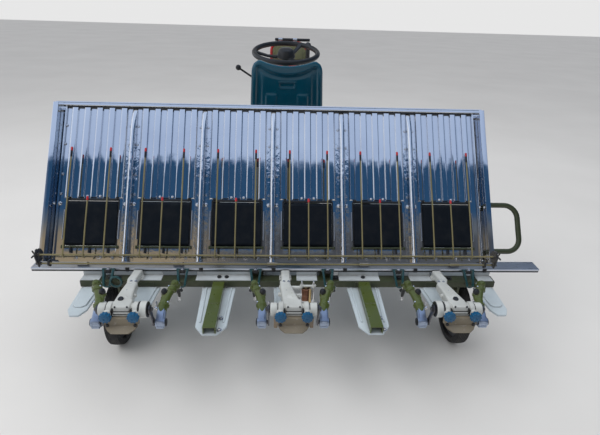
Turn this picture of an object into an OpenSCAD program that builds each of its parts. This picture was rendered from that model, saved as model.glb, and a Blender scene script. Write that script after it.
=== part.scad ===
// Riding rice transplanter for six rows, parked on its wheels.
// Millimetres. X is the machine's right, Y is forward, Z is up, the ground is Z = 0.
// The rear guide rail is the datum of the modules; at_rail() moves it to the row's frame.

/* [Rows and guide rail] */
// Distance between neighbouring rows
row_pitch = 300; // [240:5:320]
// Length of the rear guide rail
rail_length = 2126; // [1900:2:2300]
// Height of the rail's top face above the ground
rail_top = 403; // [380:1:430]
// Length of the rear crossbeam
beam_length = 1720; // [1500:10:1900]
// Depth of the crossbeam, front to back
beam_depth = 50; // [40:1:70]
// Height of the crossbeam's section
beam_height = 30; // [25:1:50]

/* [Seedling platform] */
// Width of the platform beyond the outer lanes, each side
platform_margin = 34.5; // [28:0.5:60]
// Length of the platform up its slope
platform_length = 691; // [600:1:800]
// Slope of the platform from level
platform_tilt = 55; // [45:1:65]
// Sideways position of the platform as parked
platform_shift = -83; // [-130:1:130]
// Width of one feed belt
belt_width = 205; // [150:1:240]
// Height of the wire rods above the platform's surface
rod_rise = 61; // [40:1:80]

/* [Planting units] */
// Height of the crank axis
crank_height = 411; // [380:1:450]
// Distance of the crank axis behind the rail
crank_back = 296; // [260:1:330]
// Crank radius, shaft to crank pin
crank_radius = 80; // [60:1:90]
// Outside radius of the case across the unit
case_radius = 30; // [26:1:36]
// Width of the case across the unit
case_width = 168; // [140:1:180]

/* [Floats] */
// Thickness of the floats' plate
tail_thickness = 12; // [8:1:16]
// How far the middle tails reach behind the rail
tail_reach = 335; // [250:1:360]

/* [Wheels] */
// Radius of a rear wheel
rear_radius = 150; // [130:1:155]
// Width of a rear tyre
rear_width = 54; // [40:1:60]
// Half the rear track
rear_track_half = 753; // [700:1:780]
// Radius of the front drive wheel over its lugs
drive_radius = 350; // [300:1:370]
// Width of the drive wheel over its lugs
drive_width = 90; // [70:1:110]
// Distance of the drive wheel's axle in front of the rail
drive_ahead = 1685; // [1600:5:1750]

/* [Driver's place] */
// Sideways place of the seat and the steering wheel
seat_offset = -20; // [-40:1:40]
// Width of the seat
seat_width = 371; // [330:1:450]
// Height of the seat back's top
seat_top = 1142; // [1050:1:1200]
// Outside radius of the steering wheel
wheel_rim_radius = 210; // [170:1:230]

/* [Hidden] */
// Run clearance of every shaft in its bore, on the radius
run_gap = 0.05;
platform_width = 6 * row_pitch + 2 * platform_margin;
rear_reach = 366;
front_reach = drive_ahead + drive_radius;
frame_y = -(front_reach - rear_reach) / 2;
beam_top = rail_top - 38;
beam_bottom = beam_top - beam_height;
beam_back = -47;
beam_front = beam_back + beam_depth;
platform_y = 6.3;
platform_z = rail_top + 20;
float_bottom = beam_bottom - tail_thickness;
frame_top = beam_bottom + 50;
crank_pin_y = -crank_back + 0.3 * crank_radius;
crank_pin_z = crank_height - 0.954 * crank_radius;
// Steering wheel centre and column slant
steer_y = 1331;
steer_z = 1131;
steer_slant = 11.7;
hoop_y = drive_ahead + 20;
head_top = 806;
bed_bottom = head_top + 6;
// The bar under the platform's back rail, found along and below the slope
back_rail_at = 485;
back_rail_half = platform_width / 2 - 114.5;
shoe_pitch = (back_rail_half - 40) / 2;
back_rail_low = 17;
support_radius = 14;
support_drop = back_rail_low + 0.3 + support_radius;
support_y = platform_y + back_rail_at * cos(platform_tilt) + support_drop * sin(platform_tilt);
support_z = platform_z + back_rail_at * sin(platform_tilt) - support_drop * cos(platform_tilt);
unit_x = [-2 * row_pitch, 0, 2 * row_pitch];
case_arm_shift = [-17, -29, -8];
olive = [0.36, 0.42, 0.16];
white = [0.88, 0.88, 0.84];
steel = [0.72, 0.73, 0.75];
black = [0.05, 0.05, 0.05];

module at_rail() translate([0, frame_y, 0]) children();

module at_platform()
    at_rail() translate([platform_shift, platform_y, platform_z])
        rotate([platform_tilt, 0, 0]) children();

module both_sides() {
    children();
    mirror([1, 0, 0]) children();
}

// A round bar along X from x0 to x1 at the given y and z.
module bar_x(x0, x1, y, z, r) translate([x0, y, z]) rotate([0, 90, 0]) cylinder(r = r, h = x1 - x0);

// A round bar from point a to point b.
module rod(a, b, r) {
    d = b - a;
    len = norm(d);
    translate(a) rotate([0, acos(d[2] / len), atan2(d[1], d[0])]) cylinder(r = r, h = len);
}

// A quarter turn of tube in the X-Z plane about a centre, from a start angle.
module quarter_bend(x, z, start, bend = 55, r = 11) translate([x, 0, z])
    rotate([90, 0, 0]) rotate([0, 0, start]) rotate_extrude(angle = 90) translate([bend, 0]) circle(r = r);

// A box given by its two corners.
module block(a, b) translate(a) cube(b - a);

// A plate lying across X, cut to a profile given in Y and Z.
module side_plate(x0, x1, points)
    translate([x0, 0, 0]) rotate([90, 0, 90]) linear_extrude(x1 - x0) polygon(points);

module crossbeam() color(olive) at_rail() {
    block([-beam_length / 2, beam_back, beam_bottom], [beam_length / 2, beam_front, beam_top]);
    both_sides() wheel_leg();
}

// Leg and axle of a rear wheel, on the inner side of the wheel.
module wheel_leg() {
    leg_x = rear_track_half - rear_width / 2 - 20;
    side_plate(leg_x, leg_x + 10,
        [[-40, beam_bottom], [-4, beam_bottom], [-4, 290], [70, 170], [70, 132], [30, 132], [-40, 262]]);
    bar_x(leg_x + 10, rear_track_half + rear_width / 2 + 4, 48, rear_radius, 12);
}

module guide_rail() color(white) at_rail() {
    block([-rail_length / 2, -8, rail_top - 3], [rail_length / 2, 34, rail_top]);
    block([-rail_length / 2, -8, rail_top - 18], [rail_length / 2, -5, rail_top - 3]);
    for (x = [-840, -510, -300, -90, 90, 300, 510, 840])
        block([x - 25, -4, beam_top], [x + 25, 2, rail_top - 3]);
}

// Forked gate at each row, where the fingers take the seedlings.
module seed_gates() color([0.04, 0.24, 0.25]) at_rail()
    for (i = [-2.5:1:2.5]) translate([i * row_pitch, 0, 0]) both_sides()
        side_plate(14, 20, [[-8, rail_top - 14], [-8, rail_top - 3], [-16, rail_top - 1],
            [-62, 352], [-58, 343], [-50, 343], [-48, 366], [-20, 374]]);

module planting_case(x, arm_shift) {
    difference() {
        bar_x(x - case_width / 2, x + case_width / 2, -crank_back, crank_height, case_radius);
        bar_x(x - case_width, x + case_width, -crank_back, crank_height, 12);
    }
    difference() {
        side_plate(x + arm_shift - 19, x + arm_shift + 19,
            [[-10, beam_top], [-10, 397], [-40, 401], [-270, 434], [-300, 436], [-300, 384], [-60, beam_top]]);
        bar_x(x - case_width, x + case_width, -crank_back, crank_height, case_radius - 4);
    }
}

module planting_cases() color(white) at_rail()
    for (i = [0:2]) planting_case(unit_x[i], case_arm_shift[i]);

module guard_plates() color([0.76, 0.69, 0.58]) at_rail()
    for (x = unit_x) translate([x, 0, 0]) {
        translate([0, -340, 398]) rotate([68, 0, 0]) linear_extrude(4)
            polygon([[-52, -2], [52, -2], [54, -34], [30, -58], [-30, -58], [-54, -34]]);
        block([-50, -342, 384], [50, -crank_back - case_radius, 402]);
    }

module case_knobs() color([0, 0.45, 0.7]) at_rail()
    for (x = unit_x) for (s = [-47, 47])
        translate([x + s, -crank_back - case_radius, 414]) rotate([90, 0, 0]) {
            cylinder(r = 9, h = 20);
            translate([0, 0, 20]) cylinder(r = 20, h = 16);
        }

module tail(x, width, reach, clip) translate([x, 0, float_bottom]) linear_extrude(tail_thickness)
    polygon([[-width / 2, -40], [width / 2, -40], [width * 0.42, clip - reach],
        [width * 0.2, -reach], [-width * 0.2, -reach], [-width * 0.42, clip - reach]]);

module float_tails() color(white) at_rail() {
    both_sides() {
        tail(row_pitch, 136, tail_reach, 42);
        tail(2 * row_pitch, 120, 200, 30);
        tail(816, 86, 228, 36);
    }
    tail(-45, 60, 230, 20);
}

module tail_channels() color(olive) at_rail() both_sides()
    block([row_pitch - 23, -338, float_bottom + tail_thickness], [row_pitch + 23, beam_back, beam_top - 1]);

// A float's plate with its nose turned up, from the crossbeam forward to y1.
module float_plate(x0, x1, y1, nose, rise) side_plate(x0, x1,
    [[beam_front + 5, float_bottom], [y1 - nose, float_bottom], [y1 - 14, float_bottom + 0.5 * rise],
    [y1, float_bottom + rise], [y1 - 10, float_bottom + rise + 4], [y1 - 28, float_bottom + 0.5 * rise + 6],
    [y1 - nose - 4, beam_bottom], [beam_front + 5, beam_bottom]]);

module floats() color(white) at_rail() {
    float_plate(-190, 190, 1304, 74, 96);
    both_sides() float_plate(235, 870, 800, 150, 140);
}

module main_frame() color(olive) at_rail() difference() {
    union() {
        both_sides() {
            block([120, beam_front, beam_bottom], [165, 1222, frame_top]);
            block([330, support_y - 20, beam_bottom], [370, support_y + 20, support_z - 12]);
        }
        for (y = [support_y, 420, 580, 940, 1100])
            block([-120, y - 20, beam_bottom], [120, y + 20, frame_top]);
        block([-600, support_y - 20, beam_bottom], [600, support_y + 20, beam_bottom + 40]);
        block([-165, 1210, beam_bottom + 38], [165, 1260, frame_top + 40]);
        block([-45, 1215, frame_top], [45, 1262, 800]);
        block([-45, 1262, 750], [45, drive_ahead - 30, 800]);
        translate([0, drive_ahead, 740]) cylinder(r = 45, h = head_top - 740);
        bar_x(-700, 700, support_y, support_z, support_radius);
        translate([seat_offset, 940, frame_top]) cylinder(r = 45, h = 700 - frame_top);
    }
    translate([0, drive_ahead, 700]) cylinder(r = 20, h = 140);
    both_sides() for (x = [470, 550])
        translate([x, support_y, beam_bottom - 1]) cylinder(r = 5.5, h = 60);
}

module seat() color([0.0, 0.27, 0.33]) at_rail() side_plate(seat_offset - seat_width / 2,
    seat_offset + seat_width / 2, [[735, seat_top], [760, seat_top], [835, 760], [1110, 745],
        [1120, 700], [800, 700]]);

module footboards() color([0.3, 0.3, 0.3]) at_rail() both_sides()
    block([70, 860, frame_top], [340, 1205, frame_top + 4]);

module work_gearbox() color(steel) at_rail()
    block([-100, 380, frame_top], [100, 620, frame_top + 175]);

module at_steering() at_rail() translate([seat_offset, steer_y, steer_z])
    rotate([steer_slant, 0, 0]) children();

module steering_column() color(olive) {
    at_steering() translate([0, 0, -328]) cylinder(r = 20, h = 296);
    at_steering() translate([0, 0, -40]) cylinder(r = 9, h = 36);
    at_rail() translate([seat_offset + 5, 1399, 800]) cylinder(r = 38, h = 24);
}

module levers() color(black) at_rail() {
    rod([seat_offset - 32, 1387, 852], [-316, 1331, 1036], 7);
    translate([-318, 1331, 1037]) sphere(r = 17);
    translate([seat_offset - 50, 1374, 838]) cube([30, 24, 24]);
}

module depth_spring() color([0.6, 0.35, 0.2]) at_rail() {
    translate([53, -150, 350]) cylinder(r = 26, h = 70);
    bar_x(case_arm_shift[1] + 19, 53, -150, 385, 9);
}

module platform_sheet() color(steel) at_platform() {
    translate([-platform_width / 2, 0, -3]) cube([platform_width, platform_length, 3]);
    translate([-platform_width / 2, platform_length - 14, 0]) cube([platform_width, 14, 16]);
    for (c = [-2.5:1:2.5]) for (k = [-2:2])
        translate([c * row_pitch + k * 52, 262, 0]) rotate([-90, 0, 0])
            linear_extrude(platform_length - 276) polygon([[-14, 0], [-8, -8], [8, -8], [14, 0]]);
}

module platform_dividers() color(steel) {
    at_platform() {
        for (i = [-2:2]) translate([i * row_pitch - 12, 0, 0]) cube([24, platform_length - 14, 32]);
        both_sides() translate([platform_width / 2 - 24, 0, 0]) cube([24, platform_length - 14, 40]);
        translate([-back_rail_half, back_rail_at - 20, -back_rail_low])
            cube([2 * back_rail_half, 40, back_rail_low - 3]);
    }
    // Shoes that slide on the guide rail
    at_rail() translate([platform_shift, 0, 0]) for (i = [-2:2])
        side_plate(i * shoe_pitch - 20, i * shoe_pitch + 20,
            [[9.2, rail_top + 0.3], [30, rail_top + 0.3], [30, 450], [9.2, 421]]);
}

module feed_belts() color(black) at_platform()
    for (c = [-2.5:1:2.5]) translate([c * row_pitch - belt_width / 2, 70, 0]) cube([belt_width, 184, 7]);

module belt_rollers() color(olive) at_platform()
    for (c = [-2.5:1:2.5]) bar_x(c * row_pitch - 125, c * row_pitch + 125, 55, 9, 9);

module mat_rods() color([0.5, 0.42, 0.26]) at_platform() {
    bar_x(-platform_width / 2, platform_width / 2, 24, rod_rise, 4);
    bar_x(-platform_width / 2, platform_width / 2, -18, 32, 4);
    for (c = [-2.5:1:2.5]) translate([c * row_pitch, 0, 0]) {
        for (s = [-79, 79]) rod([s, 24, rod_rise], [s, 470, rod_rise], 3);
        rod([0, 24, rod_rise], [0, 262, rod_rise], 3);
    }
    both_sides() side_plate(platform_width / 2 - 6, platform_width / 2 - 1,
        [[-26, 28], [-18, 24], [-2, 24], [-2, 40], [50, 40], [36, 70], [14, 70]]);
}

module handrail() color(olive) at_platform() translate([platform_width / 2, 0, 20]) {
    bar_x(0, 65.5, 250, 0, 11);
    translate([65.5, 195, 0]) rotate_extrude(angle = 90) translate([55, 0]) circle(r = 11);
    translate([120.5, 105, 0]) rotate([-90, 0, 0]) cylinder(r = 11, h = 90);
    translate([65.5, 105, 0]) rotate([0, 0, 270]) rotate_extrude(angle = 90) translate([55, 0]) circle(r = 11);
    bar_x(0, 65.5, 50, 0, 11);
}

module crank(x) color([0.3, 0.3, 0.3]) at_rail() {
    bar_x(x - case_width / 2 - 8, x + case_width / 2 + 8, -crank_back, crank_height, 12 - run_gap);
    for (s = [-1, 1]) {
        translate([x + s * (case_width / 2 + 6), -crank_back, crank_height]) rotate([0, 90, 0])
            cylinder(r = 20, h = 8, center = true);
        translate([x + s * (case_width / 2 + 6), crank_pin_y, crank_pin_z]) rotate([0, 90, 0])
            cylinder(r = 14, h = 8, center = true);
        translate([x + s * (case_width / 2 + 6), (crank_pin_y - crank_back) / 2,
            (crank_pin_z + crank_height) / 2])
            rotate([17.46, 0, 0]) cube([6, 24, crank_radius - 6], center = true);
        translate([x + s * (case_width / 2 + 29), crank_pin_y, crank_pin_z]) rotate([0, 90, 0])
            cylinder(r = 8, h = 42, center = true);
    }
}

module crank_left() crank(unit_x[0]);
module crank_middle() crank(unit_x[1]);
module crank_right() crank(unit_x[2]);

// The pair of planting arms of one unit; both stand alike and keep level while the crank turns.
module arm_bodies(x) color(steel) at_rail() translate([x, 0, 0]) both_sides()
    difference() {
        union() {
            bar_x(97, 133, crank_pin_y, crank_pin_z, 18);
            arm_web();
        }
        bar_x(90, 140, crank_pin_y, crank_pin_z, 8 + run_gap);
    }

// The web between an arm's crank pin and its housing.
module arm_web() side_plate(103, 127, [[-290, 345], [-262, 322], [-205, 362], [-222, 384]]);

module arm_bodies_left() arm_bodies(unit_x[0]);
module arm_bodies_middle() arm_bodies(unit_x[1]);
module arm_bodies_right() arm_bodies(unit_x[2]);

module arm_housings(x) color(olive) at_rail() translate([x, 0, 0]) both_sides() {
    difference() {
        rod([119, -214, 375], [148, -142, 417], 16);
        arm_web();
    }
    rod([148, -136, 396], [148, -148, 436], 17);
    translate([115, -180, 384]) cylinder(r = 11, h = 32);
    rod([148, -140, 415], [150, -112, 318], 6);
}

module arm_housings_left() arm_housings(unit_x[0]);
module arm_housings_middle() arm_housings(unit_x[1]);
module arm_housings_right() arm_housings(unit_x[2]);

module drive_leg() color(steel) at_rail() {
    block([-150, drive_ahead - 40, 330], [-110, drive_ahead + 40, bed_bottom]);
    bar_x(-150, drive_width / 2 + 12, drive_ahead, drive_radius, 20);
    translate([0, drive_ahead, 735]) cylinder(r = 20 - run_gap, h = bed_bottom - 735);
}

module engine_bed() color(olive) at_rail()
    block([-160, drive_ahead - 170, bed_bottom], [160, drive_ahead + 190, bed_bottom + 24]);

module engine() color([0.35, 0.35, 0.36]) at_rail()
    block([-100, drive_ahead - 120, bed_bottom + 24], [100, drive_ahead + 170, 1040]);

module engine_hoop() color([0.65, 0.03, 0.03]) at_rail() translate([0, hoop_y, 0]) {
    both_sides() {
        translate([115, 0, bed_bottom + 24]) cylinder(r = 10, h = 1107 - bed_bottom - 24);
        quarter_bend(60, 1107, 0, 55, 10);
    }
    bar_x(-60, 60, 0, 1162, 10);
}

module hoop_panel() color(olive) at_rail() translate([0, hoop_y + 3, 0]) rotate([90, 0, 0])
    linear_extrude(6) polygon([[-104.8, 1040], [104.8, 1040], [104.8, 1104], [80, 1144], [-80, 1144],
        [-104.8, 1104]]);

module grab_bar() color(black) at_rail() bar_x(-92, 148, hoop_y, 1182, 10);

module exhaust() color(black) at_rail()
    translate([138, drive_ahead - 60, bed_bottom + 24]) cylinder(r = 24, h = 330);

module drive_rim() color(steel) at_rail() translate([0, drive_ahead, drive_radius]) rotate([0, 90, 0]) {
    difference() {
        cylinder(r = 300, h = 60, center = true);
        cylinder(r = 288, h = 70, center = true);
    }
    difference() {
        cylinder(r = 45, h = drive_width, center = true);
        cylinder(r = 20 + run_gap, h = drive_width + 4, center = true);
    }
    for (a = [0:60:300]) rotate([0, 0, a]) translate([165, 0, 0]) rotate([0, 90, 0])
        cylinder(r = 11, h = 252, center = true);
}

module drive_lugs() color(black) at_rail() translate([0, drive_ahead, drive_radius]) rotate([0, 90, 0]) {
    difference() {
        cylinder(r = 312, h = 64, center = true);
        cylinder(r = 300, h = 70, center = true);
    }
    for (a = [0:24:336]) rotate([0, 0, a]) translate([330, 0, 0])
        cube([40, 14, drive_width], center = true);
}

module rear_tyre(x) color(black) at_rail() translate([x, 48, rear_radius]) rotate([0, 90, 0])
    difference() {
        cylinder(r = rear_radius, h = rear_width, center = true);
        cylinder(r = rear_radius - 30, h = rear_width + 4, center = true);
    }

module rear_tyre_left() rear_tyre(-rear_track_half);
module rear_tyre_right() rear_tyre(rear_track_half);

module rear_hub(x) color(steel) at_rail() translate([x, 48, rear_radius]) rotate([0, 90, 0])
    difference() {
        union() {
            cylinder(r = rear_radius - 30, h = 12, center = true);
            cylinder(r = 28, h = rear_width, center = true);
        }
        cylinder(r = 12 + run_gap, h = rear_width + 4, center = true);
    }

module rear_hub_left() rear_hub(-rear_track_half);
module rear_hub_right() rear_hub(rear_track_half);

module steering_wheel() color(black) at_steering() {
    rotate_extrude() translate([wheel_rim_radius - 13, 0]) circle(r = 13);
    difference() {
        translate([0, 0, -26]) cylinder(r = 38, h = 46);
        translate([0, 0, -30]) cylinder(r = 9 + run_gap, h = 28);
    }
    for (a = [60, 180, 300]) rotate([0, 0, a]) rod([20, 0, 0], [wheel_rim_radius - 14, 0, 0], 9);
}

crossbeam();
guide_rail();
seed_gates();
planting_cases();
guard_plates();
case_knobs();
float_tails();
tail_channels();
floats();
main_frame();
seat();
footboards();
work_gearbox();
steering_column();
levers();
depth_spring();
platform_sheet();
platform_dividers();
feed_belts();
belt_rollers();
mat_rods();
handrail();
crank_left();
crank_middle();
crank_right();
arm_bodies_left();
arm_bodies_middle();
arm_bodies_right();
arm_housings_left();
arm_housings_middle();
arm_housings_right();
drive_leg();
engine_bed();
engine();
engine_hoop();
hoop_panel();
grab_bar();
exhaust();
drive_rim();
drive_lugs();
rear_tyre_left();
rear_hub_left();
rear_tyre_right();
rear_hub_right();
steering_wheel();
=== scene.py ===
"""Looks of a ride-on rice transplanter, built round its CAD frame.

Shapes are written in millimetres. Rail coordinates have X to the machine's right, Y forward from the guide rail
and Z up from the ground. Platform coordinates have X across, Y up the slope and Z out of the sheet.
"""

import math

import bmesh
import bpy
from mathutils import Matrix, Vector


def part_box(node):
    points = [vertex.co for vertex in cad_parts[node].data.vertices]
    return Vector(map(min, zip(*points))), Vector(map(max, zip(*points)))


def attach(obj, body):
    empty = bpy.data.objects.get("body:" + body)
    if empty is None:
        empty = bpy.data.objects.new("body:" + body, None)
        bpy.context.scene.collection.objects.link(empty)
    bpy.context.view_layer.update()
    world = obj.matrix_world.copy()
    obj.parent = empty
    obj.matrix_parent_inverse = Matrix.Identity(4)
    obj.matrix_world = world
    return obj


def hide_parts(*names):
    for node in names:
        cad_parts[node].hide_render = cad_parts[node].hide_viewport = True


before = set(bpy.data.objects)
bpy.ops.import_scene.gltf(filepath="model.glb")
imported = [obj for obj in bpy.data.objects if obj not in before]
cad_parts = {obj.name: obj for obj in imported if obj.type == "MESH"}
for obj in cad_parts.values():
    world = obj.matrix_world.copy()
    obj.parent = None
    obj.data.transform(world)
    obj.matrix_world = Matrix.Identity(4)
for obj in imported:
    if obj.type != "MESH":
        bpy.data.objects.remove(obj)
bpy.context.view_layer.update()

# Places taken from the frame
MM = 0.001
RAIL_LIP = 8 * MM
RAIL_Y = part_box("guide_rail")[0].y + RAIL_LIP
ROW_PITCH = 300
ROWS = [ROW_PITCH * i for i in (-2.5, -1.5, -0.5, 0.5, 1.5, 2.5)]
UNITS = {"left": -2 * ROW_PITCH, "middle": 0, "right": 2 * ROW_PITCH}
PLATFORM_TILT = math.radians(55)
PLATFORM_FOOT = Vector((-83, 6.3, 423))
PLATFORM_HALF = 934.5
PLATFORM_LENGTH = 691
CRANK_AXIS = Vector((0, -296, 411))
CRANK_PIN = Vector((0, -272, 334.7))
CASE_HALF = 84
KNOB_HEIGHT = 414
KNOB_RADIUS = 19.3
REAR_AXLE = (48, 150)
REAR_WHEEL_X = 753
BEAM_BOLTS = (-742, -712, -300, -270, 185, 300, 452, 632, 668)
STAND_SPANS = ((-858, -783), (-619, -534), (-395, -168), (20, 106), (197, 369), (498, 590), (787, 852))
DRIVE_AXLE_HEIGHT = 350
BED_TOP = 836
SEAT_HALF = 185.5
SEAT_TOP = 1138
SEAT_POST_Y = 940
SPRING_X, SPRING_Y = 51, -168
BEAM_TOP = 365
BEAM_BOTTOM = 335
RAIL_TOP = 403
FLOAT_BOTTOM = 323
STEER_CENTRE = Vector((-20, 1331, 1131))
STEER_SLANT = math.radians(11.7)
DRIVE_Y = 1685
SEAT_X = -20

RAIL_PLACE = Matrix.Translation((0, RAIL_Y, 0)) @ Matrix.Scale(MM, 4)
PLATFORM_PLACE = RAIL_PLACE @ Matrix.Translation(PLATFORM_FOOT) @ Matrix.Rotation(PLATFORM_TILT, 4, "X")
STEER_PLACE = RAIL_PLACE @ Matrix.Translation(STEER_CENTRE) @ Matrix.Rotation(STEER_SLANT, 4, "X")


def smooth_step(t):
    """0 below 0, 1 above 1 and a soft rise between."""
    t = min(1.0, max(0.0, t))
    return t * t * (3 - 2 * t)


def arc(centre, radius, start, end, steps):
    """Points of an arc in a plane, angles in degrees."""
    angles = [math.radians(start + (end - start) * i / steps) for i in range(steps + 1)]
    return [(centre[0] + radius * math.cos(a), centre[1] + radius * math.sin(a)) for a in angles]


def circle(count):
    """Angles that stand evenly round a circle."""
    return [2 * math.pi * i / count for i in range(count)]


def between(sign, near, far, x=0.0):
    """Low and high x of what stands from near to far on one side of x."""
    return sorted((x + sign * near, x + sign * far))


def rounded(points, radius, steps=4):
    """The closed outline with every corner cut round."""
    out = []
    count = len(points)
    for i, corner in enumerate(points):
        here = Vector(corner)
        before = Vector(points[i - 1]) - here
        after = Vector(points[(i + 1) % count]) - here
        reach = min(radius, before.length * 0.45, after.length * 0.45)
        a = here + before.normalized() * reach
        b = here + after.normalized() * reach
        for k in range(steps + 1):
            t = k / steps
            out.append(tuple(a * (1 - t) ** 2 + here * 2 * t * (1 - t) + b * t * t))
    return out


class Shape:
    """Faces gathered in millimetres and made into one object."""

    def __init__(self, place=RAIL_PLACE):
        self.bm = bmesh.new()
        self.place = place

    def add(self, points, faces, paint=0):
        """Adds faces by their points' numbers; paint is the number of their material."""
        verts = [self.bm.verts.new(p) for p in points]
        for face in faces:
            if len(set(face)) > 2:
                made = self.bm.faces.new([verts[i] for i in face])
                made.material_index = paint
        return verts

    def merge(self, other):
        """Takes in a small bmesh and frees it."""
        bmesh.ops.recalc_face_normals(other, faces=other.faces)
        index = {v: self.bm.verts.new(v.co) for v in other.verts}
        for f in other.faces:
            self.bm.faces.new([index[v] for v in f.verts])
        other.free()

    def box(self, low, high, edge=1.5, steps=2):
        """A box between two corners with rounded edges."""
        sub = bmesh.new()
        low, high = Vector(low), Vector(high)
        size = high - low
        place = Matrix.Translation((low + high) / 2) @ Matrix.Diagonal((*size, 1))
        bmesh.ops.create_cube(sub, size=1, matrix=place)
        if edge:
            reach = min(edge, min(size) * 0.45)
            bmesh.ops.bevel(sub, geom=sub.edges, offset=reach, segments=steps, profile=0.5, affect="EDGES")
        self.merge(sub)

    def prism(self, outline, low, high, axis="x", edge=0.0, steps=2):
        """A closed outline stretched along an axis: (y, z) along x, (x, z) along y or (x, y) along z."""
        sub = bmesh.new()
        place = {"x": lambda p, t: (t, p[0], p[1]), "y": lambda p, t: (p[0], t, p[1]),
                 "z": lambda p, t: (p[0], p[1], t)}[axis]
        rings = [[sub.verts.new(place(p, t)) for p in outline] for t in (low, high)]
        count = len(outline)
        caps = [sub.faces.new(ring) for ring in rings]
        for i in range(count):
            k = (i + 1) % count
            sub.faces.new([rings[0][i], rings[0][k], rings[1][k], rings[1][i]])
        bmesh.ops.recalc_face_normals(sub, faces=sub.faces)
        if edge:
            rim = list({e for cap in caps for e in cap.edges})
            bmesh.ops.bevel(sub, geom=rim, offset=edge, segments=steps, profile=0.5, affect="EDGES",
                            clamp_overlap=True)
        self.merge(sub)

    def turned(self, start, end, profile, sides=32, ring=False):
        """A profile of (along, radius) turned about the line from start to end; along runs in millimetres."""
        start, end = Vector(start), Vector(end)
        axis = (end - start).normalized()
        spin = axis.to_track_quat("Z", "Y").to_matrix()
        rows = []
        points = []
        for along, radius in profile:
            row = []
            for i in range(sides if radius > 1e-6 else 1):
                a = 2 * math.pi * i / sides
                offset = spin @ Vector((radius * math.cos(a), radius * math.sin(a), 0))
                row.append(len(points))
                points.append(start + axis * along + offset)
            rows.append(row)
        pairs = list(zip(rows, rows[1:]))
        if ring:
            pairs.append((rows[-1], rows[0]))
        faces = []
        for a, b in pairs:
            for i in range(sides):
                k = (i + 1) % sides
                faces.append([a[i % len(a)], a[k % len(a)], b[k % len(b)], b[i % len(b)]])
        self.add(points, [list(dict.fromkeys(f)) for f in faces])

    def rod(self, start, end, radius, sides=20, edge=0.0, tip=None):
        """A capped round bar; edge rounds its rims and tip is the radius at its far end."""
        length = (Vector(end) - Vector(start)).length
        tip = radius if tip is None else tip
        edge = min(edge, length * 0.45, radius * 0.95)
        if edge:
            near = [(edge * (1 - math.cos(a)), radius - edge * (1 - math.sin(a)))
                    for a in (0, math.pi / 6, math.pi / 3, math.pi / 2)]
            far = [(length - edge * (1 - math.cos(a)), tip - edge * (1 - math.sin(a)))
                   for a in (math.pi / 2, math.pi / 3, math.pi / 6, 0)]
            profile = [(0, 0), *near, *far, (length, 0)]
        else:
            profile = [(0, 0), (0, radius), (length, tip), (length, 0)]
        self.turned(start, end, profile, sides)

    def bar(self, x0, x1, y, z, *size, **more):
        """A rod along X."""
        self.rod((x0, y, z), (x1, y, z), *size, **more)

    def pipe(self, start, end, outer, inner, sides=32):
        """A straight round pipe, open at both ends."""
        length = (Vector(end) - Vector(start)).length
        profile = [(0, inner), (0, outer), (length, outer), (length, inner)]
        self.turned(start, end, profile, sides, ring=True)

    def tube(self, path, radius, sides=12, closed=False, paint=0):
        """A round tube along a path; radius may be a list with one value a point."""
        path = [Vector(p) for p in path]
        count = len(path)
        radii = radius if isinstance(radius, (list, tuple)) else [radius] * count
        tangents = []
        for i in range(count):
            before = path[i - 1] if (i or closed) else path[0]
            after = path[(i + 1) % count] if (i < count - 1 or closed) else path[-1]
            tangents.append((after - before).normalized())
        side = tangents[0].orthogonal().normalized()
        points = []
        for i, (centre, along) in enumerate(zip(path, tangents)):
            side = (side - along * side.dot(along)).normalized()
            up = along.cross(side)
            for k in range(sides):
                a = 2 * math.pi * k / sides
                points.append(centre + radii[i] * (side * math.cos(a) + up * math.sin(a)))
        faces = []
        for i in range(count if closed else count - 1):
            j = (i + 1) % count
            for k in range(sides):
                m = (k + 1) % sides
                faces.append([i * sides + k, i * sides + m, j * sides + m, j * sides + k])
        if not closed:
            faces.append(list(range(sides - 1, -1, -1)))
            faces.append([(count - 1) * sides + k for k in range(sides)])
        self.add(points, faces, paint)

    def ball(self, centre, radius, stretch=(1, 1, 1), sides=24):
        """A ball, or an egg when it is stretched."""
        sub = bmesh.new()
        place = Matrix.Translation(centre) @ Matrix.Diagonal((*stretch, 1))
        bmesh.ops.create_uvsphere(sub, u_segments=sides, v_segments=sides // 2, radius=radius, matrix=place)
        self.merge(sub)

    def bolt(self, at, axis, size, height, washer=True):
        """A hexagon head on a washer."""
        at, axis = Vector(at), Vector(axis).normalized()
        if washer:
            self.rod(at, at + axis * 1.6, size * 1.55, 20, 0.5)
        self.turned(at + axis * 1.4, at + axis * 9, [(0, 0), (0, size), (height - 1.2, size),
                    (height, size * 0.82), (height, 0)], 6)

    def grid(self, rows, closed=False):
        """A surface through rows of points."""
        width = len(rows[0])
        points = [p for row in rows for p in row]
        faces = []
        for i in range(len(rows) - 1):
            for k in range(width if closed else width - 1):
                m = (k + 1) % width
                faces.append([i * width + k, i * width + m, (i + 1) * width + m, (i + 1) * width + k])
        return self.add(points, faces)

    def loft(self, rows, turned=False):
        """A tube through rings of points, closed at both ends; turned swaps which way its ends face."""
        verts = self.grid(rows, closed=True)
        count = len(rows[0])
        near, far = verts[:count], verts[-count:]
        self.bm.faces.new(near[::-1] if turned else near)
        self.bm.faces.new(far if turned else far[::-1])

    def mirrored(self):
        """Adds the mirror image of everything so far across the middle plane."""
        flip = Matrix.Diagonal((-1, 1, 1, 1))
        index = {v: self.bm.verts.new(flip @ v.co) for v in list(self.bm.verts)}
        for f in list(self.bm.faces):
            self.bm.faces.new([index[v] for v in reversed(f.verts)])

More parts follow.
